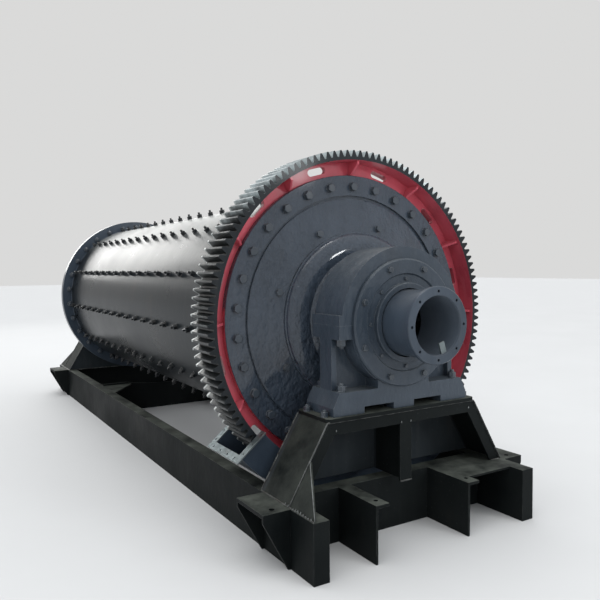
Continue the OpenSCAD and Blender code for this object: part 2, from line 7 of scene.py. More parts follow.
import logging
import math
import random
from dataclasses import dataclass
from enum import Enum
from typing import ClassVar, Dict, List, Sequence, Tuple, Union

import bmesh
import bpy
from mathutils import Matrix, Vector


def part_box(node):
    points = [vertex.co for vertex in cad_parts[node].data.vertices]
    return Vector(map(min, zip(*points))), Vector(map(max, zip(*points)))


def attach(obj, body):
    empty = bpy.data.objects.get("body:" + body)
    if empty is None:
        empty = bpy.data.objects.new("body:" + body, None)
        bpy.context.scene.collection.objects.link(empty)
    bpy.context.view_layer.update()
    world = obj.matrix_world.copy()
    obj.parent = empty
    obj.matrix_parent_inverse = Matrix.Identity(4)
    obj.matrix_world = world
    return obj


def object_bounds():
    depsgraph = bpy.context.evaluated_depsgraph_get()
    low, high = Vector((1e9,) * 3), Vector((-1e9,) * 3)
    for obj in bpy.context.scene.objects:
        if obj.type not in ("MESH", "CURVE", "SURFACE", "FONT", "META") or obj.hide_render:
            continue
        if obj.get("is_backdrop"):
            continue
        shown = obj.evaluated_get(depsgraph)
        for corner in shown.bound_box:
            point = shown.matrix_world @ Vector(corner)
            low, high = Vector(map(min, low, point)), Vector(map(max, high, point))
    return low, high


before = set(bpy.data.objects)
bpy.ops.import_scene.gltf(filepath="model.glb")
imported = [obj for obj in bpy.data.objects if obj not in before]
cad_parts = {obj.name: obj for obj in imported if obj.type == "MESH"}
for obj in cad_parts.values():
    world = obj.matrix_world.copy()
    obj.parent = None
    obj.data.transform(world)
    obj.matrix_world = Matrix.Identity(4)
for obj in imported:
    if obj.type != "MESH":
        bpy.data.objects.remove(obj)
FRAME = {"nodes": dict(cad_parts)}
log = logging.getLogger("mill")

Triple = Tuple[float, float, float]
Shape = bmesh.types.BMesh
Material = bpy.types.Material
Socket = bpy.types.NodeSocket
Value = Union[Socket, float, Triple]

UP = Vector((0.0, 0.0, 1.0))


class Body(Enum):
    """The two bodies of the mill."""

    FRAME = "frame"
    DRUM = "drum"


class End(Enum):
    """The two ends of the mill: -1 is the gear end, 1 is the far end."""

    NEAR = -1
    FAR = 1

    @property
    def word(self) -> str:
        """Word used in names of pieces at this end."""
        return self.name.lower()


class Slot(Enum):
    """Material slots of the record, named by the sub-assemblies."""

    SLATE = "slate_paint"
    BLACK = "black_paint"


def stand_on(point: Vector, out: Vector) -> Matrix:
    """Matrix that stands a shape built along +Z on a point, facing out."""
    return Matrix.Translation(point) @ out.to_track_quat("Z", "Y").to_matrix().to_4x4()


@dataclass(frozen=True)
class MillSizes:
    """Sizes that several sub-assemblies share."""

    axis_h: float
    half_len: float
    shell_r: float
    web_t: float
    shell_flange_t: float
    bearing_y: float
    stand_top_z: float
    beam_h: float
    gear_tip_r: float
    rim_bore_r: float
    gear_far_y: float
    head_flange_t: float = 0.040

    @classmethod
    def from_frame(cls) -> "MillSizes":
        """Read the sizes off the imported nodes.

        Returns:
            The shared sizes.
        """
        shell_low, shell_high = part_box("shell")
        near_flange_low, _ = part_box("shell_flange_near")
        far_flange_low, far_flange_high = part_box("shell_flange_far")
        foot_low, foot_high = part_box("bearing_foot_near")
        gear_low, gear_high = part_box("ring_gear")
        web_low, web_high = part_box("gear_web")
        half_len = cls.head_flange_t - shell_low.y
        return cls(
            axis_h=(shell_low.z + shell_high.z) / 2,
            half_len=half_len,
            shell_r=(shell_high.x - shell_low.x) / 2,
            web_t=near_flange_low.y + half_len - cls.head_flange_t,
            shell_flange_t=far_flange_high.y - far_flange_low.y,
            bearing_y=-(foot_low.y + foot_high.y) / 2,
            stand_top_z=foot_low.z,
            beam_h=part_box("side_beam_left")[1].z,
            gear_tip_r=(gear_high.x - gear_low.x) / 2,
            rim_bore_r=(web_high.x - web_low.x) / 2,
            gear_far_y=gear_high.y,
        )

    def point(self, radius: float, angle: float, y: float) -> Vector:
        """Point round the drum axis, at an angle clockwise from the top seen from the gear."""
        turn = math.radians(angle)
        return Vector((radius * math.sin(turn), y, self.axis_h + radius * math.cos(turn)))

    def ring(
        self, radius: float, count: int, first: float, y: float, out: Vector
    ) -> List[Matrix]:
        """Places spread evenly round a circle about the drum axis.

        Args:
            radius: radius of the circle.
            count: number of places.
            first: angle of the first one.
            y: place along the drum.
            out: direction that every place faces.

        Returns:
            One matrix for each place.
        """
        angles = [first + n * 360 / count for n in range(count)]
        return [stand_on(self.point(radius, angle, y), out) for angle in angles]


# Finishes


@dataclass(frozen=True)
class Pattern:
    """One noise pattern on object coordinates.

    It has so many cells for each metre, octaves, the weight of the finer ones, a scale for
    each axis and an offset. Noise from low to high counts as a share from 0 to 1.
    """

    scale: float
    detail: float = 4.0
    rough: float = 0.55
    stretch: Triple = (1.0, 1.0, 1.0)
    shift: float = 0.0
    low: float = 0.35
    high: float = 0.65


PAINT_CLOUDS = Pattern(1.4, 5.0, 0.6)
PAINT_STROKES = Pattern(9.0, 4.0, 0.6, (1.0, 1.0, 0.22), 3.1)
PAINT_GRAIN = Pattern(70.0, 3.0, 0.6, shift=7.7)
PAINT_RUNS = Pattern(26.0, 3.0, 0.5, (1.0, 1.0, 0.06), 1.9, 0.56, 0.78)
PAINT_STAINS = Pattern(3.3, 6.0, 0.7, (1.0, 1.0, 0.5), 21.0, 0.58, 0.72)
PAINT_DROPS = Pattern(38.0, shift=5.3, low=0.085, high=0.05)
# Breaks up the pale edges, which are partly worn paint and partly painted highlights.
EDGE_WEAR_AND_GLINTS = Pattern(16.0, 4.0, 0.6, shift=31.0, low=0.40, high=0.62)
LOOSE_DUST_AND_SHEEN = Pattern(5.0, 6.0, 0.65, shift=11.0, low=0.30, high=0.66)
RED_RAGGED_END = Pattern(5.0)
STEEL_CLOUDS = Pattern(3.0, 5.0, 0.6)
RUST_SPOTS = Pattern(14.0, 6.0, 0.7, shift=9.0, low=0.52, high=0.72)
GREASE_SMEARS = Pattern(19.0, 5.0, 0.6, (1.0, 0.4, 1.0), 5.0, 0.46, 0.62)
# Ragged lower edge of the painted highlight on the teeth high up on the gear.
TOP_LIT_TEETH = Pattern(7.0, 4.0, 0.6, shift=2.0)
# Ragged edge of the pale, bright far ends of the teeth.
PALE_TOOTH_ENDS = Pattern(30.0, 3.0, 0.6)
FLOOR_GRAIN = Pattern(0.8, 5.0, 0.6, low=0.3, high=0.7)


@dataclass(frozen=True)
class Layer:
    """Sockets of one coat: its colour, roughness and bumped normal."""

    colour: Socket
    rough: Socket
    normal: Socket


class Shader:
    """A material's node tree with short calls for the nodes that are used here."""

    def __init__(self, name: str) -> None:
        """Start a material that holds one Principled shader.

        Args:
            name: name of the material.
        """
        self.material = bpy.data.materials.new(name)
        self.material.use_nodes = True
        self.tree = self.material.node_tree
        self.tree.nodes.clear()
        output = self.add("ShaderNodeOutputMaterial")
        self.surface = self.add("ShaderNodeBsdfPrincipled")
        self.feed(output.inputs["Surface"], self.surface.outputs["BSDF"])
        coordinates = self.add("ShaderNodeTexCoord")
        self.place = coordinates.outputs["Object"]
        self.facing = coordinates.outputs["Normal"]

    def add(self, kind: str, **settings: object) -> bpy.types.Node:
        """Add a node.

        Args:
            kind: Blender's name of the node type.
            settings: attributes to set on it.

        Returns:
            The node.
        """
        node = self.tree.nodes.new(kind)
        for key, value in settings.items():
            setattr(node, key, value)
        return node

    def feed(self, target: Socket, value: Value) -> None:
        """Link a socket, or set a plain value on it.

        Args:
            target: input socket.
            value: output socket, number or colour.
        """
        if isinstance(value, Socket):
            self.tree.links.new(value, target)
        elif target.type == "RGBA":
            target.default_value = (*value, 1.0)
        else:
            target.default_value = value

    def fill(self, node: bpy.types.Node, **values: Value) -> bpy.types.Node:
        """Feed the inputs of a node.

        Args:
            node: the node.
            values: value of each input, with _ for a blank in its name.

        Returns:
            The node.
        """
        for name, value in values.items():
            self.feed(node.inputs[name.replace("_", " ")], value)
        return node

    def texture(self, kind: str, scale: float, stretch: Triple, shift: Triple) -> bpy.types.Node:
        """Texture on object coordinates.

        Args:
            kind: Blender's name of the node type.
            scale: cells for each metre.
            stretch: scale for each axis.
            shift: offset, so that two patterns differ.

        Returns:
            The texture node.
        """
        mapping = self.add("ShaderNodeMapping")
        self.fill(mapping, Vector=self.place, Scale=stretch, Location=shift)
        return self.fill(self.add(kind), Vector=mapping.outputs["Vector"], Scale=scale)

    def noise(self, pattern: Pattern) -> Socket:
        """Noise of a pattern.

        Args:
            pattern: the pattern.

        Returns:
            The noise value.
        """
        shift = (pattern.shift, pattern.shift * 0.7, pattern.shift * 1.3)
        node = self.texture("ShaderNodeTexNoise", pattern.scale, pattern.stretch, shift)
        self.fill(node, Detail=pattern.detail, Roughness=pattern.rough)
        return node.outputs["Fac"]

    def band(
        self, value: Value, low: float, high: float, to_low: float = 0.0, to_high: float = 1.0
    ) -> Socket:
        """Map a range of values onto another and clamp it.

        Args:
            value: input value.
            low: value that becomes to_low.
            high: value that becomes to_high.
            to_low: result at low.
            to_high: result at high.

        Returns:
            The mapped value.
        """
        node = self.add("ShaderNodeMapRange")
        self.fill(node, Value=value, From_Min=low, From_Max=high, To_Min=to_low, To_Max=to_high)
        return node.outputs["Result"]

    def spots(self, pattern: Pattern, to_low: float = 0.0, to_high: float = 1.0) -> Socket:
        """Noise of a pattern as a share, or as any value between two others."""
        return self.band(self.noise(pattern), pattern.low, pattern.high, to_low, to_high)

    def calc(self, operation: str, *values: Value) -> Socket:
        """One step of arithmetic.

        Args:
            operation: Blender's name of the operation.
            values: its one or two values.

        Returns:
            The result.
        """
        node = self.add("ShaderNodeMath", operation=operation)
        for target, value in zip(node.inputs, values):
            self.feed(target, value)
        return node.outputs[0]

    def plus(self, first: Value, second: Value) -> Socket:
        """Sum of two values."""
        return self.calc("ADD", first, second)

    def times(self, product: Value, *others: Value) -> Socket:
        """Product of two or more values.

        Args:
            product: first value.
            others: the values that it is multiplied by.

        Returns:
            The product.
        """
        for other in others:
            product = self.calc("MULTIPLY", product, other)
        return product

    def mix(self, share: Value, under: Value, over: Value) -> Socket:
        """Lay one colour over another.

        Args:
            share: how much of the upper one shows.
            under: lower colour.
            over: upper colour.

        Returns:
            The mixed colour.
        """
        node = self.add("ShaderNodeMix", data_type="RGBA")
        under_input, over_input = (i for i in node.inputs if i.type == "RGBA")
        self.fill(node, Factor=share)
        self.feed(under_input, under)
        self.feed(over_input, over)
        return next(o for o in node.outputs if o.type == "RGBA")

    def part(self, vector: Socket, axis: str) -> Socket:
        """X, Y or Z of a vector."""
        return self.fill(self.add("ShaderNodeSeparateXYZ"), Vector=vector).outputs[axis]

    def axis_radius(self, axis_h: float) -> Socket:
        """Distance from the drum axis.

        Args:
            axis_h: height of the axis.

        Returns:
            The distance.
        """
        x = self.part(self.place, "X")
        z = self.calc("SUBTRACT", self.part(self.place, "Z"), axis_h)
        return self.calc("SQRT", self.plus(self.times(x, x), self.times(z, z)))

    def ring_mask(self, axis_h: float, low: float, high: float) -> Socket:
        """Mask of the round faces about the drum axis whose radius is in a range.

        Args:
            axis_h: height of the axis.
            low: smallest radius.
            high: largest radius.

        Returns:
            A value of 1 on those faces.
        """
        fade = 0.001
        radius = self.axis_radius(axis_h)
        round_face = self.band(self.calc("ABSOLUTE", self.part(self.facing, "Y")), 0.7, 0.5)
        above = self.band(radius, low - fade, low)
        return self.times(round_face, above, self.band(radius, high + fade, high))

    def bump(self, height: Socket, strength: float, depth: float, under: Socket) -> Socket:
        """Bump from a height.

        Args:
            height: height value.
            strength: strength from 0 to 1.
            depth: depth of the bump.
            under: normal to build on.

        Returns:
            The bumped normal.
        """
        node = self.add("ShaderNodeBump")
        self.fill(node, Height=height, Strength=strength, Distance=depth, Normal=under)
        return node.outputs["Normal"]

    def soft_edges(self, radius: float) -> Tuple[Socket, Socket]:
        """Rounded shading of the edges, and a mask of where they are.

        Args:
            radius: radius of the rounding.

        Returns:
            The rounded normal, and a value of 1 on an edge and 0 on a flat.
        """
        rounded = self.fill(self.add("ShaderNodeBevel", samples=4), Radius=radius)
        turned = self.add("ShaderNodeVectorMath", operation="DOT_PRODUCT")
        self.feed(turned.inputs[0], rounded.outputs["Normal"])
        self.feed(turned.inputs[1], self.add("ShaderNodeNewGeometry").outputs["True Normal"])
        return rounded.outputs["Normal"], self.band(turned.outputs["Value"], 0.985, 0.86)

    def close(self, layer: Layer, **plain: Value) -> Material:
        """Put a coat on the surface.

        Args:
            layer: the coat.
            plain: value of any other input, with _ for a blank in its name.

        Returns:
            The finished material.
        """
        self.fill(self.surface, Base_Color=layer.colour, Roughness=layer.rough, **plain)
        self.fill(self.surface, Normal=layer.normal)
        return self.material


@dataclass(frozen=True)
class Enamel:
    """Brushed machine enamel: patchy, with dust and sheen on the flats, runs and pale edges.

    A share says how much of a layer shows. The dust colour lies on faces that look up by more
    than dust_and_sheen_from, above the height dust_and_sheen_above, and nowhere thinner than
    dust_and_sheen_floor. On most enamels it is dust. On the shell it is a painted sheen: the
    reflection of bright surroundings, painted on its top. The pale edge colour is partly worn
    paint and partly a painted highlight where the edges catch the light. Brushed is the weight
    of the strokes against the clouds, and gloss and dull are roughnesses.
    """

    name: str
    deep: Triple
    light: Triple
    dust_and_sheen: Triple = (0.17, 0.155, 0.135)
    dust_and_sheen_share: float = 0.35
    dust_and_sheen_from: float = 0.25
    dust_and_sheen_above: float = -1.0
    dust_and_sheen_floor: float = 0.0
    dust_and_sheen_rough: float = 0.45
    haze: float = 0.10
    edge: Triple = (0.20, 0.22, 0.23)
    edge_share: float = 0.35
    edge_r: float = 0.0035
    drop_share: float = 0.4
    gloss: float = 0.24
    dull: float = 0.48
    lumps: float = 0.35
    lump_scale: float = 22.0
    lump_depth: float = 0.004
    grain: float = 0.22
    brushed: float = 0.35
    specular: float = 0.2
    coat: float = 0.25
    coat_rough: float = 0.10
    stain: Triple = (0.06, 0.045, 0.035)
    stain_share: float = 0.15

    def coats(self, s: Shader) -> Layer:
        """Lay the coats of this enamel in a material.

        Args:
            s: material to work in.

        Returns:
            The sockets of the finished coat.
        """
        clouds = s.noise(PAINT_CLOUDS)
        strokes = s.times(s.noise(PAINT_STROKES), self.brushed)
        patch = s.plus(s.times(clouds, 1.0 - self.brushed), strokes)
        # Dust on the flats. On the shell this colour is a painted sheen on the top and not dust.
        dust_and_sheen_cover = self.dust_and_sheen_mask(s)
        stains = s.times(s.spots(PAINT_STAINS), self.stain_share)
        normal, edges = s.soft_edges(self.edge_r)
        pale_mark = s.times(edges, s.spots(EDGE_WEAR_AND_GLINTS), self.edge_share)
        # Pale edges: partly worn paint, and partly a painted highlight where the edges catch the
        # light.
        drops = s.times(self.drop_mask(s, clouds), self.drop_share)
        colour = s.mix(s.band(patch, 0.36, 0.64), self.deep, self.light)
        colour = s.mix(dust_and_sheen_cover, colour, self.dust_and_sheen)
        colour = s.mix(stains, colour, self.stain)
        colour = s.mix(pale_mark, colour, self.edge)
        colour = s.mix(drops, colour, self.edge)
        rough = s.band(patch, 0.35, 0.65, self.gloss, self.dull)
        rough = s.plus(rough, s.times(dust_and_sheen_cover, self.dust_and_sheen_rough))
        lump = s.noise(Pattern(self.lump_scale, 3.0, 0.5, (1.0, 1.0, 0.6), 41.0))
        height = s.plus(lump, s.times(s.noise(PAINT_GRAIN), self.grain))
        return Layer(colour, rough, s.bump(height, self.lumps, self.lump_depth, normal))

    def dust_and_sheen_mask(self, s: Shader) -> Socket:
        """Where dust, and on the shell a painted sheen, lies: on faces that look up,
        and in faint runs down the sides.

        Args:
            s: material to work in.

        Returns:
            The share of dust and painted sheen.
        """
        upward = s.band(s.part(s.facing, "Z"), self.dust_and_sheen_from, 0.95)
        loose = s.spots(LOOSE_DUST_AND_SHEEN, self.dust_and_sheen_floor)
        high = s.band(s.part(s.place, "Z"), self.dust_and_sheen_above - 0.01, self.dust_and_sheen_above)
        film = s.times(upward, loose, high, self.dust_and_sheen_share)
        return s.calc("MAXIMUM", film, s.times(s.spots(PAINT_RUNS), self.haze))

    def drop_mask(self, s: Shader, clouds: Socket) -> Socket:
        """Small spattered drops of paint, in some clouds of the enamel only.

        Args:
            s: material to work in.
            clouds: noise of the clouds.

        Returns:
            A value of 1 on the drops.
        """
        shape, shift = PAINT_DROPS, (PAINT_DROPS.shift,) * 3
        cells = s.texture("ShaderNodeTexVoronoi", shape.scale, shape.stretch, shift)
        drops = s.band(cells.outputs["Distance"], shape.low, shape.high)
        return s.times(drops, s.band(clouds, 0.50, 0.60))

    def close(self, s: Shader, layer: Layer) -> Material:
        """Close a material with a coat and the plain gloss of this enamel.

        Args:
            s: material to close.
            layer: the coat.

        Returns:
            The finished material.
        """
        return s.close(
            layer,
            Specular_IOR_Level=self.specular,
            Coat_Weight=self.coat,
            Coat_Roughness=self.coat_rough,
        )

    def make(self) -> Material:
        """Build the material."""
        s = Shader(self.name)
        return self.close(s, self.coats(s))


@dataclass(frozen=True)
class TwoEnamels:
    """One enamel that takes the colour of a second one where its mask says so."""

    name: str
    main: Enamel
    second: Enamel

    def mask(self, s: Shader) -> Socket:
        """Share of the second enamel."""
        raise NotImplementedError

    def make(self) -> Material:
        """Build the material.

        Returns:
            The material.
        """
        s = Shader(self.name)
        main, second = self.main.coats(s), self.second.coats(s)
        colour = s.mix(self.mask(s), main.colour, second.colour)
        return self.main.close(s, Layer(colour, main.rough, main.normal))


@dataclass(frozen=True)
class RingedEnamel(TwoEnamels):
    """The second enamel is on the round faces at some radius, below a ragged height."""

    axis_h: float
    low: float
    high: float
    below: float = 10.0
    ragged: float = 0.12

    def mask(self, s: Shader) -> Socket:
        """Share of the second enamel.

        Args:
            s: material to work in.

        Returns:
            The share.
        """
        height = s.plus(s.part(s.place, "Z"), s.times(s.noise(RED_RAGGED_END), self.ragged))
        low_down = s.band(height, self.below + 0.09, self.below + 0.05)
        return s.times(s.ring_mask(self.axis_h, self.low, self.high), low_down)


@dataclass(frozen=True)
class RecessFillLitEnamel(TwoEnamels):
    """The second enamel is on the faces that lie deeper in, seen along the drum.

    It is a lighter copy of the paint: painted fill light for a recess that gets little light.
    """

    inside_y: float

    def mask(self, s: Shader) -> Socket:
        """Share of the second enamel."""
        away = s.calc("ABSOLUTE", s.part(s.place, "Y"))
        return s.band(away, self.inside_y + 0.01, self.inside_y)


@dataclass(frozen=True)
class BareSteel:
    """Bare machined steel with tool marks round an axis, an oil film and light rust."""

    name: str
    bright: Triple = (0.56, 0.57, 0.57)
    dark: Triple = (0.27, 0.27, 0.265)
    edge: Triple = (0.75, 0.76, 0.76)
    edge_share: float = 0.4
    rust: Triple = (0.16, 0.085, 0.045)
    rust_share: float = 0.3
    rust_rough: float = 0.6
    gloss: float = 0.22
    dull: float = 0.42
    edge_r: float = 0.002
    marks: Triple = (2.0, 120.0, 2.0)
    mark_strength: float = 0.25
    mark_depth: float = 0.0008

    def make(self) -> Material:
        """Build the material.

        Returns:
            The material.
        """
        s = Shader(self.name)
        marks = s.noise(Pattern(6.0, 3.0, 0.6, self.marks, 2.2))
        rust = s.times(s.spots(RUST_SPOTS), self.rust_share)
        normal, edges = s.soft_edges(self.edge_r)
        colour = s.mix(s.spots(STEEL_CLOUDS), self.dark, self.bright)
        colour = s.mix(rust, colour, self.rust)
        colour = s.mix(s.times(edges, self.edge_share), colour, self.edge)
        rough = s.band(marks, 0.35, 0.65, self.gloss, self.dull)
        rough = s.plus(rough, s.times(rust, self.rust_rough))
        normal = s.bump(marks, self.mark_strength, self.mark_depth, normal)
        return s.close(Layer(colour, rough, normal), Metallic=s.band(rust, 0.0, 0.3, 1.0, 0.35))


@dataclass(frozen=True)
class GearFinish:
    """Ring gear: painted sides, red bore of the rim, cut teeth with grease in the gaps.

    The teeth are pale high up on the gear, a painted highlight for the light from above,
    and pale and bright at their far ends.
    """

    name: str
    axis_h: float
    tooth_root: float
    tooth_tip: float
    rim_bore: float
    bright_y: float
    paint: Enamel
    bore_paint: Enamel
    steel: Triple = (0.026, 0.030, 0.032)
    tip: Triple = (0.036, 0.041, 0.043)
    # Colour of the painted highlight on the teeth high up on the gear.
    pale: Triple = (0.50, 0.56, 0.57)
    pale_mark: Triple = (0.50, 0.53, 0.52)
    grease: Triple = (0.010, 0.011, 0.011)
    top_lit_from: float = 0.82
    top_lit_full: float = 1.06
    top_lit_ragged: float = 0.5
    pale_end_ragged: float = 0.03
    pale_end_fade: float = 0.012
    pale_share: float = 0.85
    grease_share: float = 0.92
    smear_share: float = 0.8
    metallic: float = 0.45

    def make(self) -> Material:
        """Build the material.

        Returns:
            The material.
        """
        s = Shader(self.name)
        paint, bore = self.paint.coats(s), self.bore_paint.coats(s)
        radius = s.axis_radius(self.axis_h)
        # Painted highlight: the teeth high up on the gear are painted pale for the light that falls
        # on them from above.
        height = s.plus(s.part(s.place, "Z"), s.times(s.noise(TOP_LIT_TEETH), self.top_lit_ragged))
        low, high = self.axis_h + self.top_lit_from, self.axis_h + self.top_lit_full
        top_lit = s.band(height, low, high, 0.0, self.pale_share)
        # The far ends of the teeth take a pale, bright colour.
        along = s.plus(s.part(s.place, "Y"), s.times(s.noise(PALE_TOOTH_ENDS), self.pale_end_ragged))
        pale_mark = s.band(along, self.bright_y, self.bright_y + self.pale_end_fade)
        pale_mark = s.times(pale_mark, self.pale_share)
        gap = s.band(radius, self.tooth_root + 0.030, self.tooth_root + 0.004)
        smear = s.times(s.spots(GREASE_SMEARS), self.smear_share)
        left = s.band(s.calc("MAXIMUM", pale_mark, top_lit), 0.0, self.pale_share, 1.0, 0.35)
        film = s.times(s.calc("MAXIMUM", gap, smear), left)
        land = s.band(radius, self.tooth_tip - 0.004, self.tooth_tip - 0.001)
        teeth = s.mix(land, self.steel, self.tip)
        teeth = s.mix(top_lit, teeth, self.pale)
        teeth = s.mix(pale_mark, teeth, self.pale_mark)
        teeth = s.mix(s.times(film, self.grease_share), teeth, self.grease)
        on_bore = s.ring_mask(self.axis_h, self.rim_bore - 0.01, self.rim_bore + 0.004)
        cut = s.ring_mask(self.axis_h, self.tooth_root - 0.006, self.tooth_tip + 0.01)
        colour = s.mix(cut, s.mix(on_bore, paint.colour, bore.colour), teeth)
        bare = s.times(cut, s.band(film, 0.0, 0.8, 1.0, 0.05), self.metallic)
        s.fill(s.surface, Metallic=bare)
        return self.paint.close(s, Layer(colour, paint.rough, paint.normal))


@dataclass(frozen=True)
class FloorFinish:
    """Plain pale floor of the studio."""

    name: str = "pale_floor"
    colour: Triple = (0.56, 0.56, 0.555)
    paler: float = 1.04
    gloss: float = 0.72
    dull: float = 0.85
    specular: float = 0.25

    def make(self) -> Material:
        """Build the material.

        Returns:
            The material.
        """
        s = Shader(self.name)
        pale = tuple(c * self.paler for c in self.colour)
        colour = s.mix(s.spots(FLOOR_GRAIN), self.colour, pale)
        rough = s.spots(FLOOR_GRAIN, self.gloss, self.dull)
        s.fill(s.surface, Base_Color=colour, Roughness=rough, Specular_IOR_Level=self.specular)
        return s.material


SLATE = Enamel(
    "slate_enamel", (0.026, 0.037, 0.052), (0.048, 0.064, 0.086), dust_and_sheen_share=0.22, haze=0.06,
    edge_share=0.45,
)
HUB = Enamel(
    "head_enamel", (0.024, 0.034, 0.048), (0.045, 0.060, 0.082), dust_and_sheen_share=0.15, haze=0.05,
    gloss=0.20, dull=0.46, lumps=1.0, lump_scale=32.0, lump_depth=0.020, coat=0.75,
    coat_rough=0.07,
)
FAR_HUB = Enamel(
    "far_head_enamel", HUB.deep, HUB.light, dust_and_sheen_share=0.15, haze=0.05, lumps=0.8, specular=0.1,
)
SPOUT = Enamel(
    "spout_enamel", (0.028, 0.039, 0.054), (0.050, 0.066, 0.088), dust_and_sheen_share=0.15, haze=0.05,
    gloss=0.26, lumps=0.5,
)
SPOUT_LINING = Enamel(
    "spout_lining", (0.075, 0.092, 0.115), (0.115, 0.138, 0.165), dust_and_sheen_share=0.1, haze=0.0,
)
# The pale dust colour on faces that look up is a painted sheen: the reflection of bright
# surroundings, painted on the top of the shell.
SHELL = Enamel(
    "shell_enamel", (0.0065, 0.0085, 0.0105), (0.0135, 0.0170, 0.0200),
    dust_and_sheen=(0.36, 0.37, 0.355), dust_and_sheen_share=0.55, dust_and_sheen_from=0.62, dust_and_sheen_floor=0.72, haze=0.02,
    gloss=0.25, dull=0.34, lumps=0.09, brushed=0.15, specular=0.085, coat=0.05,
)
CAST = Enamel(
    "cast_enamel", (0.027, 0.037, 0.050), (0.048, 0.062, 0.080), dust_and_sheen=(0.22, 0.23, 0.22),
    dust_and_sheen_share=0.30, haze=0.05, edge=(0.34, 0.37, 0.39), edge_share=0.5, gloss=0.26, dull=0.50,
    lumps=0.9, lump_scale=30.0, lump_depth=0.007, coat=0.2,
)
BLACK = Enamel(
    "black_enamel", (0.0040, 0.0054, 0.0058), (0.0100, 0.0122, 0.0122),
    dust_and_sheen=(0.115, 0.125, 0.108), dust_and_sheen_share=0.75, dust_and_sheen_above=0.28, haze=0.015,
    edge=(0.15, 0.16, 0.155), edge_share=0.40, gloss=0.42, dull=0.68, brushed=0.08,
    specular=0.07, coat=0.0, stain=(0.020, 0.019, 0.016), stain_share=0.30,
)
# Painted fill light: a lighter copy of the black enamel, for the stand's recess, which gets little
# light.
RECESS_FILL_LIGHT = Enamel(
    "recess_painted_fill_light", (0.016, 0.020, 0.023), (0.030, 0.036, 0.040), dust_and_sheen_above=0.28, haze=0.05,
    edge_share=0.1,
)
RED = Enamel(
    "red_enamel", (0.38, 0.052, 0.075), (0.60, 0.105, 0.140), dust_and_sheen=(0.40, 0.22, 0.22),
    dust_and_sheen_share=0.20, edge=(0.70, 0.25, 0.28), edge_share=0.5, stain=(0.12, 0.030, 0.036),
    stain_share=0.35,
)
BOLT = Enamel(
    "bolt_enamel", (0.020, 0.028, 0.037), (0.045, 0.057, 0.072), dust_and_sheen_share=0.2,
    edge=(0.24, 0.26, 0.28), edge_share=0.6, dull=0.42, lumps=0.3, specular=0.3, coat=0.4,
)
LINER_BOLT = Enamel(
    "liner_bolt_enamel", (0.006, 0.0075, 0.009), (0.016, 0.019, 0.022), dust_and_sheen_share=0.25,
    edge=(0.20, 0.21, 0.21), edge_share=0.5, lumps=0.2,
)
WELD = Enamel(
    "weld_paint", (0.008, 0.0095, 0.010), (0.020, 0.022, 0.022), dust_and_sheen_share=0.5, haze=0.05,
    edge=(0.24, 0.25, 0.24), edge_share=0.8, gloss=0.30, dull=0.5, lumps=0.5,
)
DRIPS = Enamel(
    "pale_drips", (0.016, 0.018, 0.018), (0.22, 0.235, 0.23), dust_and_sheen_share=0.1, haze=0.0,
    edge=(0.20, 0.21, 0.205), lumps=0.4,
)
GEAR_PAINT = Enamel(
    "gear_paint", (0.0075, 0.0095, 0.0115), (0.018, 0.022, 0.026), dust_and_sheen_share=0.25, haze=0.04,
    edge_share=0.45, specular=0.14, coat=0.1,
)
PALE_FLANGE = BareSteel(
    "pale_flange_steel", (0.24, 0.28, 0.29), (0.14, 0.17, 0.18), rust_share=0.20, gloss=0.42,
    dull=0.62, marks=(8.0, 8.0, 8.0),
)
BRONZE = BareSteel(
    "bearing_bronze_metal", (0.60, 0.42, 0.18), (0.36, 0.24, 0.10), rust=(0.12, 0.09, 0.04),
    rust_share=0.4,
)


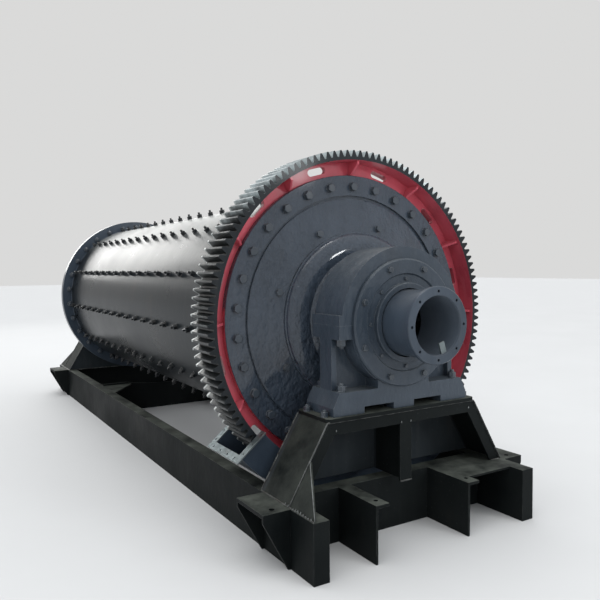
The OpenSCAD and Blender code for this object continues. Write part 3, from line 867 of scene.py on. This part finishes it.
class Finishes:
    """Every finish of the mill, made once."""

    def __init__(self, sizes: MillSizes) -> None:
        """Make the materials.

        Args:
            sizes: shared sizes.
        """
        axis_h, tip_r = sizes.axis_h, sizes.gear_tip_r
        self.slate = SLATE.make()
        self.shoulder = HUB.make()
        self.head_far = FAR_HUB.make()
        self.head_near = RingedEnamel(
            "red_edged_head", HUB, RED, axis_h, low=0.868, high=0.880, below=1.27
        ).make()
        self.spout = RingedEnamel(
            "lined_spout", SPOUT, SPOUT_LINING, axis_h, low=0.120, high=0.160
        ).make()
        self.shell = SHELL.make()
        self.cast = CAST.make()
        self.black = BLACK.make()
        # The stand's recess takes a lighter copy of its paint, as painted fill light.
        self.stand = RecessFillLitEnamel(
            "stand_enamel", BLACK, RECESS_FILL_LIGHT, inside_y=sizes.bearing_y - 0.12
        ).make()
        self.red = RED.make()
        self.bolt = BOLT.make()
        self.liner_bolt = LINER_BOLT.make()
        self.journal = BareSteel("bare_journal").make()
        self.pale_flange = PALE_FLANGE.make()
        self.bronze = BRONZE.make()
        self.weld = WELD.make()
        self.drips = DRIPS.make()
        self.gear = GearFinish(
            "ring_gear_finish",
            axis_h,
            tooth_root=tip_r - 0.038,
            tooth_tip=tip_r,
            rim_bore=sizes.rim_bore_r,
            bright_y=sizes.gear_far_y - 0.008,
            paint=GEAR_PAINT,
            bore_paint=RED,
        ).make()

    def dress_nodes(self, nodes: Dict[str, bpy.types.Object]) -> None:
        """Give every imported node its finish.

        Args:
            nodes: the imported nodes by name.
        """
        chosen = self.by_node()
        for name, thing in nodes.items():
            kind = name.removesuffix("_near").removesuffix("_far")
            finish = chosen.get(name, chosen.get(kind, self.black))
            thing.data.materials.clear()
            thing.data.materials.append(finish)
            log.info("node %s dressed in %s", name, finish.name)

    def by_node(self) -> Dict[str, Material]:
        """Finish of each node, or of a kind of node that both ends have; the rest is black."""
        return {
            "shell": self.shell,
            "shell_flange": self.slate,
            "head_near": self.head_near,
            "head_far": self.head_far,
            "trunnion": self.journal,
            "feed_spout": self.spout,
            "discharge_spout": self.spout,
            "feed_paddle": self.pale_flange,
            "ring_gear": self.gear,
            "gear_web": self.red,
            "gear_guard": self.slate,
            "guard_flanges": self.pale_flange,
            "guard_feet": self.slate,
            "bearing_foot": self.cast,
            "bearing_cap": self.cast,
            "bearing_liner": self.bronze,
            "seal_cover": self.cast,
            "stand_frame": self.stand,
        }


# Shapes


def add_cone(
    bm: Shape, sides: int, low_r: float, high_r: float, low_z: float, height: float
) -> List[bmesh.types.BMVert]:
    """Add a closed cone or prism that stands along Z.

    Args:
        bm: shape to add to.
        sides: number of sides.
        low_r: radius at its foot.
        high_r: radius at its top.
        low_z: height of its foot.
        height: how tall it is.

    Returns:
        Its corners.
    """
    return bmesh.ops.create_cone(
        bm,
        cap_ends=True,
        segments=sides,
        radius1=low_r,
        radius2=high_r,
        depth=height,
        matrix=Matrix.Translation((0, 0, low_z + height / 2)),
    )["verts"]


def edges_at(corners: Sequence[bmesh.types.BMVert]) -> List[bmesh.types.BMEdge]:
    """Edges that meet the corners, each once and always in the same order."""
    return list(dict.fromkeys(edge for corner in corners for edge in corner.link_edges))


def spin_round(
    bm: Shape, outline: Sequence[bmesh.types.BMEdge], middle: Vector, steps: int
) -> None:
    """Turn an outline once round the drum axis and close the shape.

    Args:
        bm: shape that holds the outline.
        outline: edges to turn.
        middle: a point on the axis.
        steps: number of steps.
    """
    bmesh.ops.spin(
        bm,
        geom=outline,
        cent=middle,
        axis=(0, 1, 0),
        dvec=(0, 0, 0),
        angle=math.tau,
        steps=steps,
        use_merge=True,
    )


@dataclass(frozen=True)
class Fastener:
    """Hex bolt or nut on a washer, built along +Z with its seat at Z = 0."""

    across: float
    height: float
    washer_r: float
    washer_t: float = 0.004
    stud_r: float = 0.0
    stud_out: float = 0.0
    stud_sides: int = 12
    threads: int = 0
    washer_sides: ClassVar[int] = 18
    sunk: ClassVar[float] = 0.001
    washer_taper: ClassVar[float] = 0.96
    chamfer: ClassVar[float] = 0.09
    crown: ClassVar[float] = 0.05
    thread_taper: ClassVar[float] = 0.86
    tip_taper: ClassVar[float] = 0.72

    def mesh(self, name: str) -> bpy.types.Mesh:
        """Build the fastener.

        Args:
            name: name of the mesh.

        Returns:
            The mesh.
        """
        bm = bmesh.new()
        rim_r = self.washer_r * self.washer_taper
        thick = self.washer_t + self.sunk
        add_cone(bm, self.washer_sides, self.washer_r, rim_r, -self.sunk, thick)
        corner_r = self.across / math.sqrt(3)
        hexagon = set(add_cone(bm, 6, corner_r, corner_r, self.washer_t, self.height))
        top_z = self.washer_t + self.height
        top = [f for f in bm.faces if set(f.verts) <= hexagon and f.normal.z > 0.9]
        bmesh.ops.inset_region(bm, faces=top, thickness=self.across * self.chamfer, depth=0.0)
        for vert in top[0].verts:
            vert.co.z = top_z + self.across * self.crown
        if self.stud_out > 0:
            self.add_stud(bm, top_z)
        mesh = bpy.data.meshes.new(name)
        bm.to_mesh(mesh)
        bm.free()
        return mesh

    def add_stud(self, bm: Shape, top_z: float) -> None:
        """Add the end of the stud that stands out of the nut.

        Args:
            bm: shape to add to.
            top_z: height of the top of the nut.
        """
        steps = max(1, self.threads)
        pitch = self.stud_out / steps
        for n in range(steps):
            tip_r = self.stud_r * (self.tip_taper if n == steps - 1 else self.thread_taper)
            add_cone(bm, self.stud_sides, self.stud_r, tip_r, top_z + pitch * n, pitch)

    def scatter(self, name: str, places: Sequence[Matrix], wobble: float = 0.0) -> Shape:
        """Copy the fastener to every place.

        Args:
            name: name of the prototype.
            places: matrices to copy it to.
            wobble: largest random tilt.

        Returns:
            One shape with all the copies.
        """
        rng = random.Random(len(places) * 7 + 3)
        proto = self.mesh(name)
        whole = bmesh.new()
        for place in places:
            tilt = Matrix.Rotation(math.radians(rng.uniform(-wobble, wobble)), 4, "X")
            turn = Matrix.Rotation(rng.uniform(0, math.tau), 4, "Z")
            copy = proto.copy()
            copy.transform(place @ tilt @ turn)
            whole.from_mesh(copy)
            bpy.data.meshes.remove(copy)
        bpy.data.meshes.remove(proto)
        return whole


@dataclass(frozen=True)
class Bead:
    """Bead of weld or paint with ripples."""

    radius: float
    ripple: float
    sides: int
    foot: ClassVar[float] = 0.6
    dip: ClassVar[float] = 0.78
    spread: ClassVar[Tuple[float, float]] = (0.86, 1.12)
    tip: ClassVar[float] = 0.5
    ring_dip: ClassVar[float] = 0.8
    ring_spread: ClassVar[Tuple[float, float]] = (0.9, 1.1)

    def straight(self, bm: Shape, start: Vector, end: Vector, seed: int) -> None:
        """Lay a straight bead.

        Args:
            bm: shape to add to.
            start: first end.
            end: second end.
            seed: seed of the unevenness.
        """
        rng = random.Random(seed)
        run = end - start
        count = max(2, round(run.length / self.ripple))
        foot = bmesh.ops.create_circle(
            bm,
            cap_ends=True,
            segments=self.sides,
            radius=self.radius * self.foot,
            matrix=stand_on(start, run),
        )["verts"]
        edges = edges_at(foot)
        centre = start.copy()
        for n in range(1, count + 1):
            made = bmesh.ops.extrude_edge_only(bm, edges=edges)["geom"]
            edges = [part for part in made if isinstance(part, bmesh.types.BMEdge)]
            target = start + run * (n / count)
            size = self.radius * (1.0 if n % 2 else self.dip) * rng.uniform(*self.spread)
            if n == count:
                size = self.radius * self.tip
            for vert in (part for part in made if isinstance(part, bmesh.types.BMVert)):
                vert.co = target + (vert.co - centre).normalized() * size
            centre = target
        bmesh.ops.contextual_create(bm, geom=edges)

    def ring(self, bm: Shape, middle: Vector, ring_r: float, seed: int) -> None:
        """Lay a bead round a circle about the drum axis.

        Args:
            bm: shape to add to.
            middle: centre of the circle.
            ring_r: radius of the circle.
            seed: seed of the unevenness.
        """
        rng = random.Random(seed)
        count = max(48, round(math.tau * ring_r / self.ripple))
        # Drawn step by step and not corner by corner, so that every run gives the same bead.
        sizes = [
            (1.0 if n % 2 else self.ring_dip) * rng.uniform(*self.ring_spread) for n in range(count)
        ]
        laid_before = set(bm.verts)
        start = bmesh.ops.create_circle(
            bm,
            cap_ends=False,
            segments=self.sides,
            radius=self.radius,
            matrix=Matrix.Translation(middle + Vector((ring_r, 0, 0))),
        )["verts"]
        spin_round(bm, edges_at(start), middle, count)
        for vert in bm.verts:
            if vert in laid_before:
                continue
            spoke = vert.co - middle
            spoke.y = 0.0
            step = round(math.atan2(-spoke.z, spoke.x) / math.tau * count) % count
            centre = middle + spoke.normalized() * ring_r
            vert.co = centre + (vert.co - centre) * sizes[step]


# Sub-assemblies


@dataclass
class SubAssembly:
    """Pieces that ride on one body of the mill; the class names one material slot."""

    sizes: MillSizes
    finishes: Finishes
    body: ClassVar[Body] = Body.DRUM
    slot: ClassVar[Slot] = Slot.SLATE

    def add(self, name: str, shape: Shape, finish: Material, sharp: float = 32.0) -> None:
        """Turn a finished shape into a piece that rides on the body.

        Args:
            name: name of the piece.
            shape: the shape, which is freed.
            finish: its material.
            sharp: edges that turn by more than this angle stay sharp.
        """
        limit = math.radians(sharp)
        for face in shape.faces:
            face.smooth = True
        for edge in shape.edges:
            edge.smooth = edge.calc_face_angle(math.pi) < limit
        mesh = bpy.data.meshes.new(name)
        shape.to_mesh(mesh)
        shape.free()
        mesh.materials.append(finish)
        piece = bpy.data.objects.new(name, mesh)
        bpy.context.scene.collection.objects.link(piece)
        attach(piece, self.body.value)
        log.info("piece %s: %d faces", name, len(mesh.polygons))


@dataclass
class EndAssembly(SubAssembly):
    """A sub-assembly that stands at one end of the mill."""

    end: End

    @property
    def out(self) -> Vector:
        """Direction out of the mill along the drum."""
        return Vector((0, self.end.value, 0))

    @property
    def middle_y(self) -> float:
        """Place of the middle of the bearing along the drum."""
        return self.end.value * self.sizes.bearing_y

    def add_here(self, name: str, shape: Shape, finish: Material, sharp: float = 32.0) -> None:
        """Add a piece whose name says which end it is at."""
        self.add(f"{name}_{self.end.word}", shape, finish, sharp)


@dataclass
class HeadFasteners(EndAssembly):
    """Bolts of one end of the drum: the flange bolts with their nuts, and the head bolts."""

    flange_bolt_r: float = 0.806
    flange_bolts: int = 30
    head_bolt_r: float = 0.572
    head_bolts: int = 8
    head_bolt_angle: float = 17.0
    cone_out_r: float = 0.726
    cone_in_r: float = 0.525
    cone_rise: float = 0.046
    flange_bolt: Fastener = Fastener(0.046, 0.020, 0.028, 0.005)
    flange_nut: Fastener = Fastener(0.046, 0.024, 0.028, 0.005, 0.0148, 0.018, 14, 3)
    head_bolt: Fastener = Fastener(0.036, 0.016, 0.022, 0.004)

    def build(self) -> None:
        """Build the bolts of this end."""
        self.build_flange()
        self.build_head()

    def build_flange(self) -> None:
        """Bolt ring that joins the head, the web and the shell flange."""
        s, e = self.sizes, self.end.value
        web_t = s.web_t if self.end is End.NEAR else 0.0
        back_y = e * (s.half_len - s.head_flange_t - web_t - s.shell_flange_t)
        heads = s.ring(self.flange_bolt_r, self.flange_bolts, 0.0, e * s.half_len, self.out)
        nuts = s.ring(self.flange_bolt_r, self.flange_bolts, 0.0, back_y, -self.out)
        finish = self.finishes.bolt
        self.add_here("flange_bolts", self.flange_bolt.scatter("flange_bolt", heads), finish)
        self.add_here("flange_nuts", self.flange_nut.scatter("flange_nut", nuts), finish)

    def build_head(self) -> None:
        """Ring of bolts on the cone of the head."""
        s = self.sizes
        width = self.cone_out_r - self.cone_in_r
        slope = math.atan2(self.cone_rise, width)
        rise = self.cone_rise * (self.cone_out_r - self.head_bolt_r) / width
        places = []
        for n in range(self.head_bolts):
            angle = self.head_bolt_angle + n * 360 / self.head_bolts
            point = s.point(self.head_bolt_r, angle, self.end.value * (s.half_len + rise))
            spoke = s.point(1.0, angle, 0.0) - Vector((0, 0, s.axis_h))
            facing = self.out * math.cos(slope) + spoke.normalized() * math.sin(slope)
            places.append(stand_on(point, facing))
        self.add_here("head_bolts", self.head_bolt.scatter("head_bolt", places), self.finishes.bolt)


@dataclass
class LinerFasteners(SubAssembly):
    """Rows of nuts along the shell, which hold the lining."""

    rows: int = 13
    first_angle: float = -14.15
    pitch: float = 0.2345
    start_y: float = -1.9075
    count: int = 18
    sunk: float = 0.0004
    wobble: float = 2.0
    nut: Fastener = Fastener(0.036, 0.024, 0.022, 0.003, 0.0110, 0.020, 8, 1)

    def build(self) -> None:
        """Build all the rows."""
        places = []
        for row in range(self.rows):
            angle = self.first_angle + row * 360 / self.rows
            for n in range(self.count):
                y = self.start_y + n * self.pitch
                point = self.sizes.point(self.sizes.shell_r, angle, y)
                out = point - Vector((0, y, self.sizes.axis_h))
                places.append(stand_on(point - out.normalized() * self.sunk, out))
        whole = self.nut.scatter("liner_nut", places, self.wobble)
        self.add("liner_bolts", whole, self.finishes.liner_bolt)


@dataclass
class DrumWelds(SubAssembly):
    """Beads where the shell meets its flanges."""

    bead: Bead = Bead(0.008, 0.012, 8)
    seeds: Tuple[int, int] = (5, 6)

    def build(self) -> None:
        """Lay both beads."""
        s = self.sizes
        near_y = -s.half_len + s.head_flange_t + s.web_t + s.shell_flange_t
        far_y = s.half_len - s.head_flange_t - s.shell_flange_t
        bm = bmesh.new()
        for y, seed in zip((near_y, far_y), self.seeds):
            self.bead.ring(bm, Vector((0, y, s.axis_h)), s.shell_r, seed)
        bmesh.ops.recalc_face_normals(bm, faces=bm.faces[:])
        self.add("shell_welds", bm, self.finishes.slate, 60)


@dataclass
class HubShoulder(EndAssembly):
    """Rounded shoulder of the cast head, between its step and its neck."""

    outer_r: float = 0.519
    inner_r: float = 0.284
    crown_r: float = 0.405
    foot_out: float = 0.058
    crown_out: float = 0.116
    buried: float = 0.040
    arc_steps: int = 9
    turn_steps: int = 160

    def profile(self) -> List[Tuple[float, float]]:
        """Outline of the shoulder, from its outer foot over the crown to the neck.

        Returns:
            Pairs of radius and distance outwards from the face of the head.
        """
        outline = []
        for n in range(self.arc_steps + 1):
            turn = math.pi / 2 * n / self.arc_steps
            radius = self.crown_r + (self.outer_r - self.crown_r) * math.cos(turn)
            out = self.foot_out + (self.crown_out - self.foot_out) * math.sin(turn)
            outline.append((radius, out))
        outline.append((self.inner_r, self.crown_out))
        outline.append((self.inner_r, self.buried))
        outline.append((self.outer_r, self.buried))
        return outline

    def build(self) -> None:
        """Turn the shoulder round the drum axis."""
        s, e = self.sizes, self.end.value
        bm = bmesh.new()
        points = [(radius, e * (s.half_len + out), s.axis_h) for radius, out in self.profile()]
        corners = [bm.verts.new(point) for point in points]
        outline = [bm.edges.new(pair) for pair in zip(corners, corners[1:] + corners[:1])]
        spin_round(bm, outline, Vector((0, 0, s.axis_h)), self.turn_steps)
        bmesh.ops.recalc_face_normals(bm, faces=bm.faces[:])
        self.add_here("hub_shoulder", bm, self.finishes.shoulder, 40)


@dataclass
class BearingFasteners(EndAssembly):
    """Bolts of one bearing: cover ring, gland ring, split flanges, foot and hold-down bolts."""

    body: ClassVar[Body] = Body.FRAME
    housing_half_d: float = 0.133
    cover_t: float = 0.024
    cover_bolt_r: float = 0.318
    gland_bolt_r: float = 0.245
    gland_step: float = 0.014
    ring_bolts: int = 8
    split_z: float = 1.125
    split_bolt_x: float = 0.402
    split_bolt_y: float = 0.095
    foot_top: float = 0.845
    foot_bolt_x: float = 0.405
    hold_x: float = 0.508
    hold_y: float = 0.085
    cover_bolt: Fastener = Fastener(0.030, 0.013, 0.018, 0.003)
    gland_bolt: Fastener = Fastener(0.019, 0.008, 0.011, 0.002)
    split_bolt: Fastener = Fastener(0.046, 0.030, 0.030, 0.005, 0.0148, 0.016, 14, 3)
    foot_bolt: Fastener = Fastener(0.041, 0.026, 0.026, 0.005, 0.0132, 0.016, 14, 3)
    hold_bolt: Fastener = Fastener(0.036, 0.022, 0.023, 0.004, 0.0118, 0.012, 14, 2)

    def build(self) -> None:
        """Build the rings of bolts, then the sets of four."""
        for name, bolt, radius, first, proud in (
            ("cover_bolt", self.cover_bolt, self.cover_bolt_r, 22.5, self.cover_t),
            ("gland_bolt", self.gland_bolt, self.gland_bolt_r, 0.0, self.gland_step),
        ):
            face_y = self.middle_y + self.end.value * (self.housing_half_d + proud)
            places = self.sizes.ring(radius, self.ring_bolts, first, face_y, self.out)
            self.add_here(name + "s", bolt.scatter(name, places), self.finishes.bolt)
        split_y, top_z = self.split_bolt_y, self.sizes.stand_top_z
        for name, bolt, x, y, z, out in (
            ("split_bolt", self.split_bolt, self.split_bolt_x, split_y, self.split_z, -UP),
            ("foot_bolt", self.foot_bolt, self.foot_bolt_x, split_y, self.foot_top, UP),
            ("hold_bolt", self.hold_bolt, self.hold_x, self.hold_y, top_z, UP),
        ):
            places = [
                stand_on(Vector((side * x, self.middle_y + way * y, z)), out)
                for side in (-1, 1)
                for way in (-1, 1)
            ]
            self.add_here(name + "s", bolt.scatter(name, places), self.finishes.bolt)


@dataclass
class StandEdges(EndAssembly):
    """Beads on one stand, and the pale runs of paint along its left edges."""

    body: ClassVar[Body] = Body.FRAME
    slot: ClassVar[Slot] = Slot.BLACK
    top_x: float = 0.531
    foot_x: float = 0.767
    frame_top: float = 0.700
    knee_z: float = 0.518
    half_d: float = 0.150
    back_in: float = 0.002
    flare_out: float = 0.387
    column_half: float = 0.041
    leg_w: float = 0.084
    run_out: float = 0.0035
    run_up: float = 0.002
    run_in: float = 0.006
    foot_lift: float = 0.004
    foot_drops: int = 11
    foot_drops_span: float = 0.24
    foot_drops_back: float = 0.02
    foot_drop_fall: Tuple[float, float] = (0.006, 0.016)
    drop_scatter: float = 0.004
    corner_drops: Tuple[Tuple[float, float], ...] = (
        (-0.477, 0.648),
        (-0.034, 0.636),
        (0.034, 0.636),
        (0.488, 0.655),
    )
    corner_drop_fall: Triple = (0.002, 0.0, 0.011)
    bead: Bead = Bead(0.0055, 0.009, 6)
    run: Bead = Bead(0.0026, 0.016, 5)
    drop: Bead = Bead(0.0040, 0.005, 6)

    @property
    def front_y(self) -> float:
        """Place of the outer face of the stand along the drum."""
        return self.middle_y + self.end.value * self.half_d

    def side(self, side: int, y: float, z: float) -> Vector:
        """Point on the outer face of the left (-1) or the right (1) side plate."""
        slope = (self.foot_x - self.top_x) / (self.frame_top - self.sizes.beam_h)
        return Vector((side * (self.top_x + slope * (self.frame_top - z)), y, z))

    def flare_tip(self, z: float) -> Vector:
        """Point on the outer end of the flared left side plate."""
        return self.side(-1, self.middle_y + self.end.value * self.flare_out, z)

    def build(self) -> None:
        """Lay the beads of this stand, and at the near end the runs of paint too."""
        self.build_beads()
        if self.end is End.NEAR:
            self.build_runs()

    def build_beads(self) -> None:
        """Lay the beads under the top plate, along the legs and round the feet."""
        low, top, front = self.sizes.beam_h, self.frame_top, self.front_y
        back = self.middle_y - self.end.value * (self.half_d - self.back_in)
        lines = []
        for n, y in enumerate((front, back)):
            lines.append((self.side(-1, y, top), self.side(1, y, top), 11 + n))
            lines.append((self.side(-1, y, low), self.side(-1, y, top), 21 + n))
            lines.append((self.side(1, y, low), self.side(1, y, top), 25 + n))
        left, right = self.side(-1, front, low), self.side(1, front, low)
        back_left, back_right = self.side(-1, back, low), self.side(1, back, low)
        leg = Vector((self.leg_w, 0, 0))
        column = Vector((self.column_half, front, low))
        lines += [
            (back_left, self.flare_tip(low), 31),
            (back_right, right, 32),
            (back_left, back_right, 33),
            (left, left + leg, 35),
            (right - leg, right, 36),
            (Vector((-self.column_half, front, low)), column, 41),
        ]
        bm = bmesh.new()
        for start, end, seed in lines:
            self.bead.straight(bm, start, end, seed)
        bmesh.ops.recalc_face_normals(bm, faces=bm.faces[:])
        self.add_here("stand_welds", bm, self.finishes.weld, 70)

    def build_runs(self) -> None:
        """Lay the thin pale runs along the left edges and the drops at the corners."""
        e, low, front = self.end.value, self.sizes.beam_h, self.front_y
        bm = bmesh.new()
        proud = Vector((-self.run_out, e * self.run_out, self.run_up))
        top = self.side(-1, front, self.frame_top - self.run_in) + proud
        knee = self.side(-1, front, self.knee_z) + proud
        foot = self.side(-1, front, low + self.foot_lift) + proud
        tip = self.flare_tip(low + self.foot_lift) + UP * self.run_up
        for n, (start, end) in enumerate(((top, knee), (knee, foot), (knee, tip))):
            self.run.straight(bm, start, end, 51 + n)
        rng = random.Random(17)
        for n in range(self.foot_drops):
            along = self.foot_drops_span * n / (self.foot_drops - 1) - self.foot_drops_back
            place = self.side(-1, front + e * along, low + self.run_up)
            out = -self.run_in - rng.uniform(0.0, self.drop_scatter)
            aside = rng.uniform(-self.drop_scatter, self.drop_scatter)
            place += Vector((out, aside, self.run_up))
            fall = Vector((0.001, 0.002, rng.uniform(*self.foot_drop_fall)))
            self.drop.straight(bm, place, place + fall, 61 + n)
        for n, (x, z) in enumerate(self.corner_drops):
            place = Vector((x, front + e * 0.0005, z))
            self.drop.straight(bm, place, place + Vector(self.corner_drop_fall), 81 + n)
        bmesh.ops.recalc_face_normals(bm, faces=bm.faces[:])
        self.add("paint_runs", bm, self.finishes.drips, 70)


# Studio


@dataclass(frozen=True)
class Lamp:
    """One soft rectangular lamp, in watts."""

    name: str
    at: Triple
    target: Triple
    size: Tuple[float, float]
    power: float
    tint: Triple
    in_gloss: bool = True
    on_matt: bool = True

    def hang(self) -> None:
        """Hang the lamp in the scene."""
        data = bpy.data.lights.new(self.name, "AREA")
        data.shape = "RECTANGLE"
        data.size, data.size_y = self.size
        data.energy = self.power
        data.color = self.tint
        thing = bpy.data.objects.new(self.name, data)
        thing.location = self.at
        aim = Vector(self.target) - Vector(self.at)
        thing.rotation_euler = aim.to_track_quat("-Z", "Y").to_euler()
        thing.visible_camera = False
        thing.visible_glossy = self.in_gloss
        thing.visible_diffuse = self.on_matt
        bpy.context.scene.collection.objects.link(thing)


HEAD = (-0.25, -2.28, 1.75)
NECK = (-0.2, -2.3, 1.6)
SHELL_TOP = (-0.5, 0.5, 1.6)
COOL = (0.95, 0.98, 1.0)
DAYLIGHT = (0.97, 0.99, 1.0)
WARM = (1.0, 1.0, 0.98)
LAMPS = (
    Lamp("window_light", (3.0, -9.6, 6.2), HEAD, (4.2, 3.6), 135.0, COOL, in_gloss=False),
    Lamp("glint_light", (3.9, -9.8, 3.5), HEAD, (0.9, 0.6), 55.0, DAYLIGHT),
    Lamp("roof_light", (0.2, -0.6, 7.6), NECK, (1.8, 4.6), 420.0, DAYLIGHT, on_matt=False),
    Lamp("far_light", (1.2, 14.0, 5.4), SHELL_TOP, (11.0, 5.0), 1000.0, WARM, on_matt=False),
)


@dataclass
class Studio:
    """Floor, lamps, background and camera."""

    floor_half: float = 60.0
    sun_towards: Triple = (-0.25, 0.10, 1.5)
    sun_strength: float = 0.95
    sun_spread: float = 60.0
    sun_tint: Triple = (1.0, 0.99, 0.97)
    air: Tuple[Triple, float] = ((0.93, 0.96, 1.0), 1.22)
    backdrop: Tuple[Triple, float] = ((0.70, 0.70, 0.695), 1.0)
    camera_at: Triple = (-2.352, -5.484, 1.512)
    yaw: float = 31.30
    pitch: float = 2.93
    roll: float = -0.504
    focal_px: float = 638.82
    image_px: float = 600.0
    sensor_mm: float = 36.0
    sight: float = 300.0

    def build(self) -> None:
        """Build the studio."""
        self.build_floor()
        self.build_sun()
        for lamp in LAMPS:
            lamp.hang()
        self.build_world()
        self.build_camera()

    def build_floor(self) -> None:
        """Lay the floor."""
        bm = bmesh.new()
        bmesh.ops.create_grid(bm, x_segments=4, y_segments=4, size=self.floor_half)
        mesh = bpy.data.meshes.new("floor")
        bm.to_mesh(mesh)
        bm.free()
        mesh.materials.append(FloorFinish().make())
        floor = bpy.data.objects.new("floor", mesh)
        bpy.context.scene.collection.objects.link(floor)
        floor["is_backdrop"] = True

    def build_sun(self) -> None:
        """Add one wide soft sun."""
        data = bpy.data.lights.new("sky_light", "SUN")
        data.energy = self.sun_strength
        data.angle = math.radians(self.sun_spread)
        data.color = self.sun_tint
        thing = bpy.data.objects.new("sky_light", data)
        aim = -Vector(self.sun_towards)
        thing.rotation_euler = aim.to_track_quat("-Z", "Y").to_euler()
        bpy.context.scene.collection.objects.link(thing)

    def build_world(self) -> None:
        """Set the background: the backdrop to the eye and to gloss, the air as light."""
        world = bpy.data.worlds.new("studio_air")
        bpy.context.scene.world = world
        world.use_nodes = True
        tree = world.node_tree
        tree.nodes.clear()
        rays = tree.nodes.new("ShaderNodeLightPath").outputs
        seen = rays["Is Camera Ray"]
        for kind in ("Is Glossy Ray", "Is Transmission Ray"):
            either = tree.nodes.new("ShaderNodeMath")
            either.operation = "MAXIMUM"
            tree.links.new(seen, either.inputs[0])
            tree.links.new(rays[kind], either.inputs[1])
            seen = either.outputs[0]
        mixer = tree.nodes.new("ShaderNodeMixShader")
        tree.links.new(seen, mixer.inputs[0])
        for n, (tint, strength) in enumerate((self.air, self.backdrop), start=1):
            light = tree.nodes.new("ShaderNodeBackground")
            light.inputs["Color"].default_value = (*tint, 1.0)
            light.inputs["Strength"].default_value = strength
            tree.links.new(light.outputs[0], mixer.inputs[n])
        out = tree.nodes.new("ShaderNodeOutputWorld")
        tree.links.new(mixer.outputs[0], out.inputs["Surface"])
        bpy.context.scene.view_settings.view_transform = "Standard"

    def build_camera(self) -> None:
        """Set the camera where the photograph was taken from."""
        yaw, pitch, roll = (math.radians(v) for v in (self.yaw, self.pitch, self.roll))
        flat = math.cos(pitch)
        ahead = Vector((math.sin(yaw) * flat, math.cos(yaw) * flat, -math.sin(pitch)))
        level = ahead.cross(UP).normalized()
        upright = level.cross(ahead)
        right = math.cos(roll) * level + math.sin(roll) * upright
        up = -math.sin(roll) * level + math.cos(roll) * upright
        turn = Matrix((right, up, -ahead)).transposed().to_4x4()
        data = bpy.data.cameras.new("photo_camera")
        data.sensor_width = self.sensor_mm
        data.lens = self.sensor_mm * self.focal_px / self.image_px
        data.clip_end = self.sight
        camera = bpy.data.objects.new("photo_camera", data)
        camera.matrix_world = Matrix.Translation(self.camera_at) @ turn
        bpy.context.scene.collection.objects.link(camera)
        bpy.context.scene.camera = camera


def plain(corners: Tuple[Vector, Vector]) -> List[List[float]]:
    """Lowest and highest corner as plain lists of numbers."""
    return [[round(v, 5) for v in corner] for corner in corners]


def main() -> None:
    """Build the looks of the mill and the studio."""
    logging.basicConfig(level=logging.INFO, format="%(name)s: %(message)s")
    cad_box = plain(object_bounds())
    sizes = MillSizes.from_frame()
    log.info("sizes %s", sizes)
    finishes = Finishes(sizes)
    finishes.dress_nodes(FRAME["nodes"])
    for end in End:
        HeadFasteners(sizes, finishes, end).build()
    LinerFasteners(sizes, finishes).build()
    DrumWelds(sizes, finishes).build()
    for end in End:
        HubShoulder(sizes, finishes, end).build()
    for end in End:
        BearingFasteners(sizes, finishes, end).build()
        StandEdges(sizes, finishes, end).build()
    Studio().build()
    {"cad": cad_box, "visual": plain(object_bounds())}


if __name__ == "__main__":
    main()
